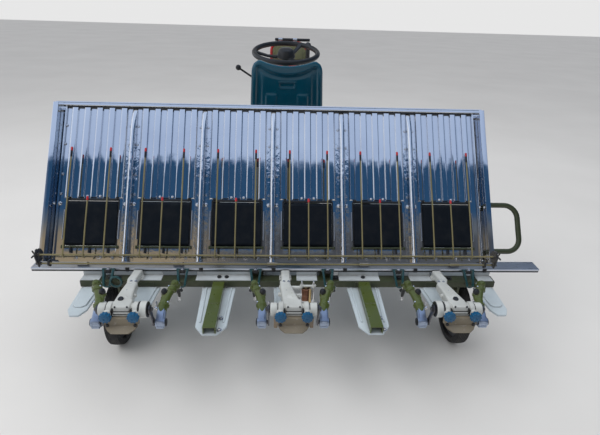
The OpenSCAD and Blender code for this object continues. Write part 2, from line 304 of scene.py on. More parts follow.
    def make(self, name, body, slot, paints, replaces=(), sharp=38, cast=None, keep=1.0, thick=0.0, calm=6):
        """Turns the faces into an object that rides on a body. With cast, the voxel size in millimetres, the
        overlapping solids melt into one casting with soft inner corners."""
        if not thick:
            bmesh.ops.recalc_face_normals(self.bm, faces=self.bm.faces)
        self.bm.transform(self.place)
        mesh = bpy.data.meshes.new(name)
        self.bm.to_mesh(mesh)
        self.bm.free()
        obj = bpy.data.objects.new(name, mesh)
        bpy.context.scene.collection.objects.link(obj)
        for paint in paints:
            mesh.materials.append(paint)
        if cast:
            melt(obj, cast, keep, calm)
        if thick:
            shell = obj.modifiers.new("thickness", "SOLIDIFY")
            shell.thickness = thick * MM
            shell.offset = -1
        soften(obj.data, 180 if cast else sharp)
        if not cast:
            even = obj.modifiers.new("even normals", "WEIGHTED_NORMAL")
            even.keep_sharp = True
        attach(obj, body)
        if replaces:
            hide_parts(*replaces)
        return obj


def soften(mesh, sharp):
    """Smooth faces, with the edges sharper than an angle in degrees kept crisp."""
    limit = math.radians(sharp)
    bm = bmesh.new()
    bm.from_mesh(mesh)
    for f in bm.faces:
        f.smooth = True
    for e in bm.edges:
        e.smooth = len(e.link_faces) != 2 or e.calc_face_angle(0) < limit
    bm.to_mesh(mesh)
    bm.free()


def melt(obj, voxel, keep, calm):
    """Voxel remesh, smoothing and thinning, applied to the mesh."""
    remesh = obj.modifiers.new("melt", "REMESH")
    remesh.mode = "VOXEL"
    remesh.voxel_size = voxel * MM
    flow = obj.modifiers.new("flow", "SMOOTH")
    flow.factor = 0.5
    flow.iterations = calm
    if keep < 1:
        thin = obj.modifiers.new("thin", "DECIMATE")
        thin.ratio = keep
    graph = bpy.context.evaluated_depsgraph_get()
    result = bpy.data.meshes.new_from_object(obj.evaluated_get(graph), depsgraph=graph)
    obj.modifiers.clear()
    result.name = obj.name
    old = obj.data
    obj.data = result
    bpy.data.meshes.remove(old)


class Nodes:
    """A node tree that is built one node at a time."""

    def __init__(self, tree):
        self.tree = tree

    def feed(self, socket, value):
        """Links a socket to an output, or sets it; a colour gets its alpha."""
        if isinstance(value, bpy.types.NodeSocket):
            self.tree.links.new(value, socket)
        else:
            socket.default_value = (*value, 1) if socket.type == "RGBA" else value

    def node(self, kind, inputs=None, **settings):
        """Adds a node with its settings and inputs."""
        made = self.tree.nodes.new(kind)
        for key, value in settings.items():
            setattr(made, key, value)
        for key, value in (inputs or {}).items():
            self.feed(made.inputs[key], value)
        return made

    def span(self, value, low, high, start=0.0, end=1.0):
        """Maps low to high onto start to end, held at both ends."""
        return self.node("ShaderNodeMapRange", {"Value": value, "From Min": low, "From Max": high,
                                                "To Min": start, "To Max": end}).outputs[0]

    def blend(self, share, first, second):
        """Mixes two colours; share is the second one's part."""
        return self.node("ShaderNodeMix", {0: share, 6: first, 7: second}, data_type="RGBA").outputs[2]

    def reckon(self, a, b, operation="MULTIPLY"):
        """One step of arithmetic."""
        return self.node("ShaderNodeMath", {0: a, 1: b}, operation=operation).outputs[0]


class Finish(Nodes):
    """A material on the Principled shader, laid out by the shared frame's metres."""

    def __init__(self, name, colour, rough, metal=0.0, coat=0.0, specular=0.5):
        self.mat = bpy.data.materials.new(name)
        self.mat.use_nodes = True
        super().__init__(self.mat.node_tree)
        self.bsdf = self.tree.nodes["Principled BSDF"]
        for key, value in (("Metallic", metal), ("Roughness", rough), ("Base Color", colour),
                           ("Coat Weight", coat), ("Specular IOR Level", specular)):
            self.feed(self.bsdf.inputs[key], value)
        self.place = self.node("ShaderNodeTexCoord").outputs["Object"]

    def noise(self, scale, detail, stretch=(1, 1, 1)):
        """Noise by place, in cycles a metre; stretch scales each axis."""
        spot = self.node("ShaderNodeMapping", {"Vector": self.place, "Scale": stretch}).outputs[0]
        inputs = {"Vector": spot, "Scale": scale, "Detail": detail, "Roughness": 0.55}
        return self.node("ShaderNodeTexNoise", inputs).outputs[0]

    def paint(self, socket, name="Base Color"):
        """Leads an output into the shader."""
        self.feed(self.bsdf.inputs[name], socket)

    def bump(self, height, strength, distance):
        """Relief; distance is in millimetres."""
        inputs = {"Height": height, "Strength": strength, "Distance": distance * MM}
        if self.bsdf.inputs["Normal"].is_linked:
            inputs["Normal"] = self.bsdf.inputs["Normal"].links[0].from_socket
        self.paint(self.node("ShaderNodeBump", inputs).outputs[0], "Normal")

    def creases(self, reach):
        """1 in the open and less in inner corners."""
        return self.node("ShaderNodeAmbientOcclusion", {"Distance": reach * MM}, samples=6).outputs["AO"]

    def edges(self):
        """1 on outer edges, where the rounded normal leaves the real one."""
        soft = self.node("ShaderNodeBevel", {"Radius": 1.2 * MM}, samples=4).outputs[0]
        hard = self.node("ShaderNodeNewGeometry").outputs["Normal"]
        agree = self.node("ShaderNodeVectorMath", {0: soft, 1: hard}, operation="DOT_PRODUCT").outputs["Value"]
        return self.span(agree, 0.97, 0.80)


def painted(name, colour, rough=0.32, coat=0.25, wear=(0.30, 0.30, 0.29), chips=0.55, dust=(0.33, 0.30, 0.25)):
    """Sprayed paint on metal: uneven tone, orange peel, chipped edges and dust in the corners."""
    f = Finish(name, colour, rough, coat=coat)
    tone = f.span(f.noise(9, 4), 0.3, 0.7)
    base = f.blend(tone, tuple(c * 0.86 for c in colour), tuple(min(1.0, c * 1.12) for c in colour))
    corner = f.span(f.creases(14), 0.35, 0.9, 0.62, 0.0)
    soil_and_shade = f.reckon(corner, f.span(f.noise(60, 5), 0.35, 0.65, 0.3, 1.0))
    base = f.blend(soil_and_shade, base, dust)
    worn = f.reckon(f.edges(), f.span(f.noise(140, 4), 0.48, 0.62, 0.0, chips))
    f.paint(f.blend(worn, base, wear))
    f.paint(f.span(f.noise(38, 4), 0.3, 0.7, rough * 0.75, rough * 1.35), "Roughness")
    f.bump(f.noise(420, 2), 0.35, 0.15)
    return f.mat


def plastic(name, colour, rough=0.4, vary=0.08, grain=0.2, scuff=(0.4, 0.4, 0.4), soil_and_shade=(0.30, 0.27, 0.22),
            soil_and_shade_share=0.45, coat=0.0):
    """Moulded plastic: faint flow marks, scuffs and a crease colour in the corners, which is dirt on most plastics
    and painted shade on the seat and the knobs.
    """
    f = Finish(name, colour, rough, coat=coat)
    tone = f.span(f.noise(7, 4), 0.3, 0.7)
    base = f.blend(tone, tuple(c * (1 - vary) for c in colour), tuple(min(1.0, c * (1 + vary)) for c in colour))
    marks = f.span(f.noise(55, 6, (1, 5, 1)), 0.60, 0.70, 0.0, 0.35)
    base = f.blend(marks, base, scuff)
    # Blends the crease colour into the corners: dirt on most plastics, and painted shade where it is a darker copy of
    # the colour, as on the seat and the knobs.
    corner = f.span(f.creases(16), 0.3, 0.9, soil_and_shade_share, 0.0)
    f.paint(f.blend(corner, base, soil_and_shade))
    f.paint(f.span(f.noise(30, 3), 0.3, 0.7, rough * 0.8, rough * 1.25), "Roughness")
    f.bump(f.noise(700, 2), grain, 0.12)
    return f.mat


def metal(name, colour, rough, brushed=(1, 1, 1), scale=260.0, relief=0.25, stain=0.15):
    """Bare or plated metal with brush lines along the short stretch and grime in the corners."""
    f = Finish(name, colour, rough, metal=1.0)
    lines = f.noise(scale, 3, brushed)
    tone = f.span(f.noise(11, 4), 0.3, 0.7)
    base = f.blend(tone, tuple(c * (1 - stain) for c in colour), colour)
    corner = f.span(f.creases(9), 0.3, 0.9, 0.55, 0.0)
    f.paint(f.blend(corner, base, (0.10, 0.09, 0.08)))
    f.paint(f.span(lines, 0.3, 0.7, rough * 0.7, rough * 1.4), "Roughness")
    f.bump(lines, relief, 0.1)
    return f.mat


def mirror_sheet(name, wavy=0.0):
    """Bright-rolled stainless sheet: nearly a mirror, slightly wavy, with fine scratches along the slope."""
    f = Finish(name, (0.80, 0.82, 0.85), 0.05, metal=1.0)
    haze = f.span(f.noise(14, 5), 0.35, 0.75, 0.02, 0.07)
    scratch = f.span(f.noise(240, 2, (1, 0.04, 0.04)), 0.62, 0.75, 0.0, 0.06)
    f.paint(f.reckon(haze, scratch, "ADD"), "Roughness")
    # Painted shade: the sheet darkens nearly to black in its inner corners.
    soil_and_shade = f.span(f.creases(10), 0.25, 0.85, 0.6, 0.0)
    tone = f.blend(f.span(f.noise(5, 3), 0.3, 0.7), (0.76, 0.78, 0.82), (0.84, 0.86, 0.88))
    f.paint(f.blend(soil_and_shade, tone, (0.05, 0.05, 0.055)))
    f.bump(f.noise(9, 2), 0.30, 1.0)
    f.bump(f.noise(45, 2), 0.20, 0.12)
    # Crumpled reflections along the foot, where the sheet was folded
    height = f.node("ShaderNodeSeparateXYZ", {0: f.place}).outputs["Z"]
    f.bump(f.reckon(f.noise(95, 3), f.span(height, 0.50, 0.455)), 0.30, 0.9)
    if wavy:
        f.bump(f.noise(75, 3, (1, 0.45, 0.45)), wavy, 1.6)
    return f.mat


def belt_rubber():
    """Black rubber for the ribbed belts, with patches of pale dust."""
    f = Finish("belt_rubber", (0.008, 0.010, 0.014), 0.6, specular=0.12)
    dust = f.span(f.noise(26, 5), 0.45, 0.75, 0.0, 0.25)
    f.paint(f.blend(dust, (0.005, 0.008, 0.013), (0.030, 0.031, 0.032)))
    f.bump(f.noise(300, 3), 0.35, 0.3)
    return f.mat


def tyre_rubber():
    """Dusty black rubber."""
    f = Finish("tyre_rubber", (0.018, 0.018, 0.019), 0.62, specular=0.35)
    dust = f.span(f.noise(40, 5), 0.42, 0.72, 0.0, 0.45)
    f.paint(f.blend(dust, (0.013, 0.013, 0.014), (0.075, 0.068, 0.058)))
    f.bump(f.noise(500, 3), 0.3, 0.25)
    return f.mat


OLIVE = painted("olive_paint", (0.060, 0.082, 0.011))
OLIVE_DARK = painted("olive_dark", (0.026, 0.034, 0.010), rough=0.42, dust=(0.10, 0.09, 0.07))
PLATE_GREY = painted("plate_grey", (0.46, 0.50, 0.53), rough=0.4, coat=0.1)
OLIVE_DULL = painted("olive_dull", (0.034, 0.042, 0.017), rough=0.45, coat=0.05, dust=(0.14, 0.13, 0.11))
WHITE_CAST = painted("white_cast", (0.50, 0.52, 0.51), rough=0.34, wear=(0.25, 0.25, 0.25), chips=0.5)
RAIL_PAINT = metal("rail_aluminium", (0.62, 0.66, 0.72), 0.34, (0.05, 1, 1), 300, 0.05, 0.08)
FLOAT_PLASTIC = plastic("float_plastic", (0.48, 0.55, 0.60), 0.38, scuff=(0.45, 0.44, 0.42), soil_and_shade_share=0.35)
TEAL = painted("teal_paint", (0.008, 0.052, 0.056), rough=0.3, chips=0.35)
# The seat's crease colour is a darker teal: painted shade in its corners and gutter.
SEAT_TEAL = plastic("seat_teal", (0.000, 0.060, 0.104), 0.2, vary=0.12, grain=0.05, scuff=(0.0, 0.11, 0.16),
                    soil_and_shade=(0.004, 0.020, 0.030), soil_and_shade_share=0.6, coat=0.25)
# The knobs' crease colour is a darker blue: painted shade in their corners.
KNOB_BLUE = plastic("knob_blue", (0.000, 0.075, 0.180), 0.32, scuff=(0.03, 0.18, 0.34), soil_and_shade=(0.0, 0.04, 0.10))
BEIGE = plastic("guard_beige", (0.20, 0.172, 0.125), 0.5, vary=0.1, soil_and_shade=(0.16, 0.12, 0.09))
TAB_BROWN = plastic("tab_brown", (0.20, 0.15, 0.10), 0.5)
BLACK = plastic("black_plastic", (0.012, 0.013, 0.015), 0.38, vary=0.15, scuff=(0.04, 0.04, 0.045),
                soil_and_shade=(0.03, 0.028, 0.025), soil_and_shade_share=0.3)
BLACK_PAINT = painted("black_paint", (0.015, 0.015, 0.016), rough=0.36, chips=0.4)
RED = painted("red_paint", (0.40, 0.008, 0.010), rough=0.25, coat=0.5)
STEEL = metal("plain_steel", (0.46, 0.46, 0.47), 0.34)
DARK_STEEL = metal("dark_steel", (0.16, 0.16, 0.17), 0.42)
CHROME = metal("bright_steel", (0.78, 0.78, 0.80), 0.14, stain=0.05)
# The alloy's blue tint is a painted reflection of the sky on silver metal.
ALLOY_SKY_TINTED = metal("cast_alloy_sky_tinted", (0.40, 0.47, 0.60), 0.36, scale=420, relief=0.4, stain=0.2)
WIRE = painted("wire_tan", (0.180, 0.155, 0.070), rough=0.4, coat=0.1, chips=0.3)
COPPER = metal("copper_brown", (0.42, 0.21, 0.13), 0.42, (1, 1, 0.2), 240, 0.4, 0.3)
BRASS = metal("spring_brass", (0.62, 0.46, 0.24), 0.3)
ENGINE_GREY = painted("engine_grey", (0.16, 0.165, 0.17), rough=0.45, coat=0.0)
CHECKER = metal("checker_plate", (0.42, 0.43, 0.44), 0.4, stain=0.25)
PANEL = painted("panel_olive", (0.16, 0.175, 0.10), rough=0.45, coat=0.05)
MIRROR = mirror_sheet("mirror_sheet")
RIDGE = mirror_sheet("mirror_ridge", 0.55)
BELT = belt_rubber()
TYRE = tyre_rubber()


def make_camera():
    """The photograph's camera, found from the row pitch; focal length and picture width are in pixels."""
    yaw, pitch, roll = 0.053, 0.4413, -0.0316
    forward = Vector((math.sin(yaw) * math.cos(pitch), math.cos(yaw) * math.cos(pitch), -math.sin(pitch)))
    level = Vector((math.cos(yaw), -math.sin(yaw), 0))
    down = forward.cross(level)
    right = level * math.cos(roll) + down * math.sin(roll)
    below = down * math.cos(roll) - level * math.sin(roll)
    data = bpy.data.cameras.new("camera")
    data.sensor_width, focal, width = 36, 450, 600
    data.lens = data.sensor_width * focal / width
    camera = bpy.data.objects.new("camera", data)
    turn = Matrix((right, -below, -forward)).transposed()
    camera.matrix_world = Matrix.Translation(RAIL_PLACE @ Vector((-57.74, -1615.99, 1400))) @ turn.to_4x4()
    bpy.context.scene.collection.objects.link(camera)
    bpy.context.scene.camera = camera


def make_floor():
    """Pale floor for the picture only."""
    mesh = bpy.data.meshes.new("floor")
    half = 30
    corners = [(x * half, y * half, 0) for x, y in ((-1, -1), (1, -1), (1, 1), (-1, 1))]
    mesh.from_pydata(corners, [], [(0, 1, 2, 3)])
    floor = bpy.data.objects.new("floor", mesh)
    bpy.context.scene.collection.objects.link(floor)
    f = Finish("floor_pale", (0.70, 0.69, 0.68), 0.8, specular=0.2)
    f.paint(f.blend(f.span(f.noise(0.8, 4), 0.3, 0.7), (0.68, 0.67, 0.66), (0.73, 0.72, 0.71)))
    mesh.materials.append(f.mat)


SKY_LEFT = [(0.00, (0.40, 0.39, 0.37)), (0.30, (0.56, 0.58, 0.61)), (0.45, (0.46, 0.46, 0.46)),
            (0.53, (0.34, 0.27, 0.18)), (0.668, (0.27, 0.215, 0.145)), (0.69, (0.13, 0.14, 0.15)),
            (0.715, (0.024, 0.072, 0.155)), (0.7835, (0.024, 0.072, 0.155)), (0.7875, (0.42, 0.52, 0.73)),
            (1.00, (0.54, 0.65, 0.86))]
SKY_RIGHT = [(0.00, (0.40, 0.39, 0.37)), (0.30, (0.56, 0.58, 0.61)), (0.45, (0.24, 0.25, 0.27)),
             (0.53, (0.09, 0.095, 0.105)), (0.668, (0.065, 0.07, 0.08)), *SKY_LEFT[5:]]


def make_world():
    """Soft light from all round. Metal sees a sky that is pale at the top, deep blue below it and warm low down."""
    world = bpy.data.worlds.new("studio")
    bpy.context.scene.world = world
    world.use_nodes = True
    w = Nodes(world.node_tree)
    w.tree.nodes.clear()
    rays = w.node("ShaderNodeLightPath")

    def ramp(source, stops):
        made = w.node("ShaderNodeValToRGB", {0: source})
        made.color_ramp.interpolation = "LINEAR"
        while len(made.color_ramp.elements) < len(stops):
            made.color_ramp.elements.new(0.5)
        for element, (position, colour) in zip(made.color_ramp.elements, stops):
            element.position = position
            element.color = (*colour, 1)
        return made.outputs[0]

    def light(colour):
        return w.node("ShaderNodeBackground", {"Color": colour}).outputs[0]

    def choose(ray, others, own):
        return w.node("ShaderNodeMixShader", {0: rays.outputs[ray], 1: others, 2: own}).outputs[0]

    # By the sine of the elevation as seen from the side, so that the bands lie level across the sheet
    place = w.node("ShaderNodeTexCoord").outputs["Generated"]
    east, north, up = w.node("ShaderNodeSeparateXYZ", {0: place}).outputs
    reach = w.reckon(w.reckon(w.reckon(north, north), w.reckon(up, up), "ADD"), 0.5, "POWER")
    rise = w.reckon(up, w.reckon(reach, 0.05, "MAXIMUM"), "DIVIDE")
    seen = w.blend(w.span(east, -0.24, -0.08), ramp(rise, SKY_LEFT), ramp(rise, SKY_RIGHT))
    seen = w.blend(w.span(east, -0.45, -0.65), seen, (0.85, 0.90, 1.0))
    seen = w.blend(w.span(east, 0.4, 0.65), seen, (0.03, 0.08, 0.17))
    lit = ramp(up, [(0.0, (0.24, 0.24, 0.25)), (0.5, (0.52, 0.53, 0.54)), (1.0, (0.86, 0.87, 0.89))])
    around = choose("Is Glossy Ray", light(lit), light(seen))
    w.node("ShaderNodeOutputWorld", {0: choose("Is Camera Ray", around, light((0.80, 0.80, 0.80)))})


def make_lamp(name, place, target, size, power, colour):
    """A square lamp aimed at a point; metal doesn't mirror it."""
    data = bpy.data.lights.new(name, "AREA")
    data.size = size
    data.energy = power
    data.color = colour
    lamp = bpy.data.objects.new(name, data)
    lamp.visible_glossy = False
    lamp.location = place
    lamp.rotation_euler = (Vector(target) - Vector(place)).to_track_quat("-Z", "Y").to_euler()
    bpy.context.scene.collection.objects.link(lamp)


# Seedling platform

RIB_PITCH = 52
RIB_HALF = 13
RIB_RISE = 8
RIB_START = 268
RIB_END = PLATFORM_LENGTH - 17
WINDOW_HALF = 106
WINDOW_LOW = 58
WINDOW_HIGH = 258
ROLLER_LOW, ROLLER_HIGH, ROLLER_RADIUS, ROLLER_DROP = 84, 240, 13, 9.5
BOUNDARIES = [ROW_PITCH * i for i in (-2, -1, 0, 1, 2)]
JOINT_BOLTS = (585, 503, 370, 285)
WIRE_LOW, WIRE_HIGH = (-9, 32), (24, 55)


def rib_height(x, s):
    """Height of the pressed ribs over the sheet; their ends run out softly."""
    lane = min(ROWS, key=lambda c: abs(x - c))
    k = round((x - lane) / RIB_PITCH)
    if abs(k) > 2:
        return 0.0
    off = abs(x - lane - k * RIB_PITCH)
    side = smooth_step((RIB_HALF + 2.2 - off) / 4.4)
    ends = smooth_step((s - RIB_START) / 3) * smooth_step((RIB_END - s) / 9)
    return RIB_RISE * side * ends


def lane_columns():
    """Places across the sheet where its surface bends."""
    xs = {-PLATFORM_HALF + 1, PLATFORM_HALF - 1}
    for lane in ROWS:
        xs |= {lane - WINDOW_HALF, lane + WINDOW_HALF, lane}
        for k in (-2, -1, 0, 1, 2):
            for off in (-15.2, -14.2, -13, -11.8, -10.8, -5, 5, 10.8, 11.8, 13, 14.2, 15.2):
                xs.add(lane + k * RIB_PITCH + off)
    for edge in BOUNDARIES:
        xs |= {edge - 24, edge, edge + 24}
    return sorted(xs)


def platform_sheet():
    """Ribbed sheet with a window for each belt."""
    s = Shape(PLATFORM_PLACE)
    xs = lane_columns()
    rows = [0, 30, WINDOW_LOW, 120, 190, WINDOW_HIGH, *[RIB_START + step for step in (-4, 0, 1, 2, 3)], 380, 480,
            580, *[RIB_END + step for step in (-9, -6, -3, 0)], PLATFORM_LENGTH - 2]
    points = [(x, t, rib_height(x, t)) for t in rows for x in xs]
    faces = []
    for i in range(len(rows) - 1):
        for k in range(len(xs) - 1):
            middle = (xs[k] + xs[k + 1]) / 2
            inside = any(abs(middle - lane) < WINDOW_HALF for lane in ROWS)
            if inside and WINDOW_LOW <= rows[i] < WINDOW_HIGH:
                continue
            a = i * len(xs) + k
            faces.append([a, a + 1, a + 1 + len(xs), a + len(xs)])
    s.add(points, faces)
    s.make("platform_sheet_pressed", "platform", "stainless", [MIRROR], ["platform_sheet"], thick=1.2, sharp=50)


def platform_edges():
    """Rolled top rail, channels at both ends and the folded lips round each belt window."""
    s = Shape(PLATFORM_PLACE)
    top = PLATFORM_LENGTH
    profile = [(top - 19, -2), (top - 19, 13), *arc((top - 16.5, 13), 2.5, 180, 90, 3), (top - 8, 15.5),
               (top - 7.5, 13.5), (top - 6, 13.5), (top - 5.5, 15.5), *arc((top - 3, 13), 2.5, 90, 0, 3),
               (top - 0.5, -2)]
    s.prism(profile, -PLATFORM_HALF, PLATFORM_HALF, "x")
    for side in (-1, 1):
        section = [(0.3, -1), (0.3, 39.5), (22, 39.5), (22, 36), (4, 36), (4, 5), (44, 5), (44, 8), (46, 8), (46, -1)]
        s.prism(rounded([(side * (PLATFORM_HALF - a), b) for a, b in section], 1.4, 2), 1, top - 15, "y")
    s.make("platform_edge_channels", "platform", "stainless", [MIRROR])
    strips = Shape(PLATFORM_PLACE)
    for lane in ROWS:
        for side in (-1, 1):
            x = lane + side * (WINDOW_HALF + 6)
            strips.box((x - 1.5, WINDOW_LOW + 36, -1), (x + 1.5, WINDOW_HIGH - 42, 8), 0.8)
    strips.make("belt_side_strips", "platform", "stainless", [RAIL_PAINT])


def platform_dividers():
    """Round-topped ridges between the lanes, cut down at their upper ends."""
    s = Shape(PLATFORM_PLACE)
    half, rise = 10.5, 31
    for edge in BOUNDARIES:
        rows = []
        for t, share in ((0, 1.0), (12, 1.0), (300, 1.0), (560, 1.0), (600, 0.85), (640, 0.45), (668, 0.04)):
            height = max(0.5, (rise - half) * share)
            crown = half * max(0.08, share)
            outline = [(-half, -1), (-half, height), *arc((0, height), 1, 180, 0, 10), (half, height), (half, -1)]
            row = []
            for x, n in outline:
                if abs(x) <= 1.0 and n >= height:
                    row.append((edge + x * half, t, height + (n - height) * crown))
                else:
                    row.append((edge + x, t, n))
            rows.append(row)
        verts = s.grid(rows)
        width = len(rows[0])
        s.bm.faces.new(verts[:width])
        for side in (-1, 1):
            x = edge + side * 19
            outline = rounded([(x - 9, -1), (x - 9, 1.6), (x + 9, 1.6), (x + 9, -1)], 0.8, 2)
            s.prism(outline, 4, PLATFORM_LENGTH - 16, "y")
    s.make("lane_ridges", "platform", "stainless", [RIDGE], ["platform_dividers"], sharp=40)


def platform_fastenings():
    """Bolts beside the ridges, studs over the belts and rivets along the top rail, with black pegs and a black strip
    painted as the shadow under the top rail.
    """
    s = Shape(PLATFORM_PLACE)
    stud = [(0, 0), (0, 8), (2, 8), (3, 5.5), (7, 5), (9, 3), (9.5, 0)]
    button = [(0, 0), (0, 6), (2, 6), (5, 4.6), (6.5, 2), (7, 0)]
    for edge in [-897, *BOUNDARIES, 911]:
        for side in (-1, 1):
            x = edge + side * (17 if abs(edge) < 700 else 11)
            for t in JOINT_BOLTS:
                s.bolt((x, t, 1.4), (0, 0, 1), 3.6, 3.2)
            s.turned((x, 243, 1.4), (x, 243, 9), stud, 16)
    for lane in ROWS:
        for off in (-26, 26):
            s.turned((lane + off, 275, 0), (lane + off, 275, 9), button, 16)
        for off, t in ((-51, 15), (40, 18), (92, 15)):
            s.bolt((lane + off, t, 0), (0, 0, 1), 4.2 if off != 40 else 7.5, 4)
    s.make("platform_bolts", "platform", "steel", [CHROME])
    dark = Shape(PLATFORM_PLACE)
    for lane in ROWS:
        for off in (-75, 0, 75):
            dark.box((lane + off - 3, 36, -1), (lane + off + 3, 56, 12), 1.0)
        for off in (-98, 98):
            dark.ball((lane + off, WINDOW_HIGH + 8, 4), 5, sides=12)
        dark.box((lane - 104, WINDOW_HIGH + 3, -1), (lane + 104, WINDOW_HIGH + 8, 2), 0.8)
    # A black strip painted as the shadow under the top rail.
    dark.box((-PLATFORM_HALF + 48, PLATFORM_LENGTH - 25, -1), (PLATFORM_HALF - 48, PLATFORM_LENGTH - 18.9, 9), 0.8)
    for i in range(13):
        x = -PLATFORM_HALF + 34 + i * 150
        dark.ball((x, PLATFORM_LENGTH - 6.8, 14.2), 3, stretch=(1, 1, 0.5), sides=10)
    dark.make("platform_pegs_and_shadow_strip", "platform", "black_plastic", [BLACK])


def feed_belts():
    """Ribbed rubber belts, endless round two rollers, one for each lane, and the frames of their windows."""
    s = Shape(PLATFORM_PLACE)
    outer, inner, drop, ribs = ROLLER_RADIUS + 3, ROLLER_RADIUS + 0.2, ROLLER_DROP, 104
    for lane in ROWS:
        face = [(ROLLER_LOW + (ROLLER_HIGH - ROLLER_LOW) * i / ribs, outer - drop - (0.8 if i % 2 else 0.0))
                for i in range(ribs + 1)]
        loop = [*arc((ROLLER_LOW, -drop), outer, 270, 90, 12), *face[1:-1],
                *arc((ROLLER_HIGH, -drop), outer, 90, -90, 12)]
        hole = [*arc((ROLLER_LOW, -drop), inner, 270, 90, 12), *arc((ROLLER_HIGH, -drop), inner, 90, -90, 12)]
        low, high = lane - 102, lane + 102
        s.prism(loop, low, high, "x")
        for x in (low - 0.2, high + 0.2):
            rows = [[(x, t, n) for t, n in hole], [(lane + (x - lane) * 0.97, t, n) for t, n in hole]]
            s.grid(rows, closed=True)
    s.make("feed_belts_ribbed", "platform", "black_rubber", [BELT], ["feed_belts"], sharp=20)
    frames = Shape(PLATFORM_PLACE)
    for lane in ROWS:
        for side in (-1, 1):
            low, high = between(side, 103.5, WINDOW_HALF + 2.5, lane)
            frames.box((low, WINDOW_LOW + 4, -6), (high, WINDOW_HIGH + 2, 2.4), 0.6)
        wide = WINDOW_HALF + 2
        frames.box((lane - wide, WINDOW_HIGH - 1.2, -8), (lane + wide, WINDOW_HIGH + 4, 2.4), 0.8)
        frames.box((lane - WINDOW_HALF, WINDOW_LOW - 2, -8), (lane + WINDOW_HALF, WINDOW_LOW + 1.5, 1.6), 0.6)
    frames.make("belt_window_frames", "platform", "black_plastic", [BLACK])


def belt_rollers():
    """Rollers in side plates under the sheet and the thin scraper shaft over each window's lower edge."""
    s = Shape(PLATFORM_PLACE)
    plates = Shape(PLATFORM_PLACE)
    for lane in ROWS:
        for t in (ROLLER_LOW, ROLLER_HIGH):
            plates.bar(lane - 102, lane + 102, t, -ROLLER_DROP, ROLLER_RADIUS - 0.2, 24, 1)
            plates.bar(lane - 115, lane + 115, t, -ROLLER_DROP, 5, 16, 1)
        for side in (-1, 1):
            low, high = between(side, 108.6, 112.5, lane)
            side_outline = rounded([(ROLLER_LOW - 14, -18.5), (ROLLER_HIGH + 14, -18.5), (ROLLER_HIGH + 14, -3.3),
                                    (ROLLER_LOW - 14, -3.3)], 6)
            plates.prism(side_outline, low, high, "x", 0.6)
            low, high = between(side, 107.5, 114.5, lane)
            s.box((low, 54, 0.2), (high, 68, 9), 1.5)
        s.bar(lane - 110, lane + 110, 62, 4.5, 3.9, 16, 0.6)
        for off in (-70, 0, 70):
            s.bar(lane + off - 14, lane + off + 14, 62, 4.5, 4.4, 20, 0.6)
    s.make("belt_shafts", "platform", "olive_paint", [OLIVE_DARK], ["belt_rollers"])
    plates.make("belt_roller_plates", "platform", "steel", [STEEL])


def mat_rods():
    """Bent wire rods that hold the seedling mats down, on two cross wires with brackets at the ends."""
    s = Shape(PLATFORM_PLACE)
    rise = 61
    for lane in ROWS:
        for off in (-79, 79):
            s.tube([(lane + off, 14, rise - 14), (lane + off, 18, rise - 4), (lane + off, 24, rise),
                    (lane + off, 40, rise + 1.5), (lane + off, 250, rise + 3), (lane + off, 438, rise)], 2.9)
        s.tube([(lane, 14, rise - 14), (lane, 18, rise - 4), (lane, 24, rise), (lane, 130, rise + 1.5),
                (lane, 248, rise)], 2.9)
    reach = PLATFORM_HALF
    s.tube([(-reach, *WIRE_HIGH), (reach, *WIRE_HIGH)], 3.4)
    s.tube([(-reach - 2, *WIRE_LOW), (reach + 2, *WIRE_LOW)], 3.8)
    s.make("mat_rod_wires", "platform", "tan_wire", [WIRE], ["mat_rods"])
    tips = Shape(PLATFORM_PLACE)
    for lane in ROWS:
        for off, end, bare in ((-79, 470, 438), (79, 470, 438), (0, 262, 248)):
            x = lane + off
            if off:
                tips.tube([(x, bare - 10, rise), (x, end - 14, rise)], 4.4)
            tips.tube([(x, end - 16, rise), (x, end - 3, rise), (x, end, rise)], [4.8, 4.6, 2.6], paint=1)
    tips.make("rod_tips", "platform", "black_plastic", [BLACK, RED])


def rod_brackets():
    """Wing-nut brackets that carry the cross wires at both ends."""
    s = Shape(PLATFORM_PLACE)
    x = PLATFORM_HALF
    plate = rounded([(-26, 26), (-10, 22), (30, 40), (52, 40), (40, 70), (12, 72), (-14, 44)], 5)
    s.prism(plate, x - 6, x - 1, "x", 0.8)
    s.bar(x - 14, x + 7, *WIRE_HIGH, 6, 16, 1)
    s.bar(x - 14, x + 7, *WIRE_LOW, 6.5, 16, 1)
    s.bolt((x - 1, 40, 56), (1, 0, 0), 5, 4)
    for a in (0, math.pi):
        wing = [(x + 8, 24 + math.cos(a) * 4, 55 + math.sin(a) * 4), (x + 11, 24 + math.cos(a) * 10, 55 + 5),
                (x + 13, 24 + math.cos(a) * 15, 55 + 8)]
        s.tube(wing, [3.0, 3.6, 2.4], 8)
    s.prism(rounded([(-21, 16), (3, 16), (9, 30), (1, 44), (-19, 42)], 6), x - 46, x - 40, "x", 0.8)
    s.tube([(x - 43, *WIRE_LOW), (x - 43, 3, 14), (x - 43, 10, 3)], 4, 10)
    s.mirrored()
    s.make("rod_brackets", "platform", "black_paint", [BLACK_PAINT])


def handrail():
    """Bent tube at the right end of the platform."""
    s = Shape(PLATFORM_PLACE)
    x, n, bend, low, high = PLATFORM_HALF, 20, 55, 50, 250
    bends = arc((x + 65.5, high - bend), bend, 90, 0, 10) + arc((x + 65.5, low + bend), bend, 0, -90, 10)
    path = [(px, t, n) for px, t in ((x - 10, high), (x + 30, high), *bends, (x + 30, low), (x - 10, low))]
    s.tube(path, 11, 20)
    for t in (low, high):
        s.bar(x - 1, x + 3, t, n, 15, 20, 1)
    s.make("side_handrail", "platform", "olive_paint", [OLIVE_DARK], ["handrail"], sharp=50)


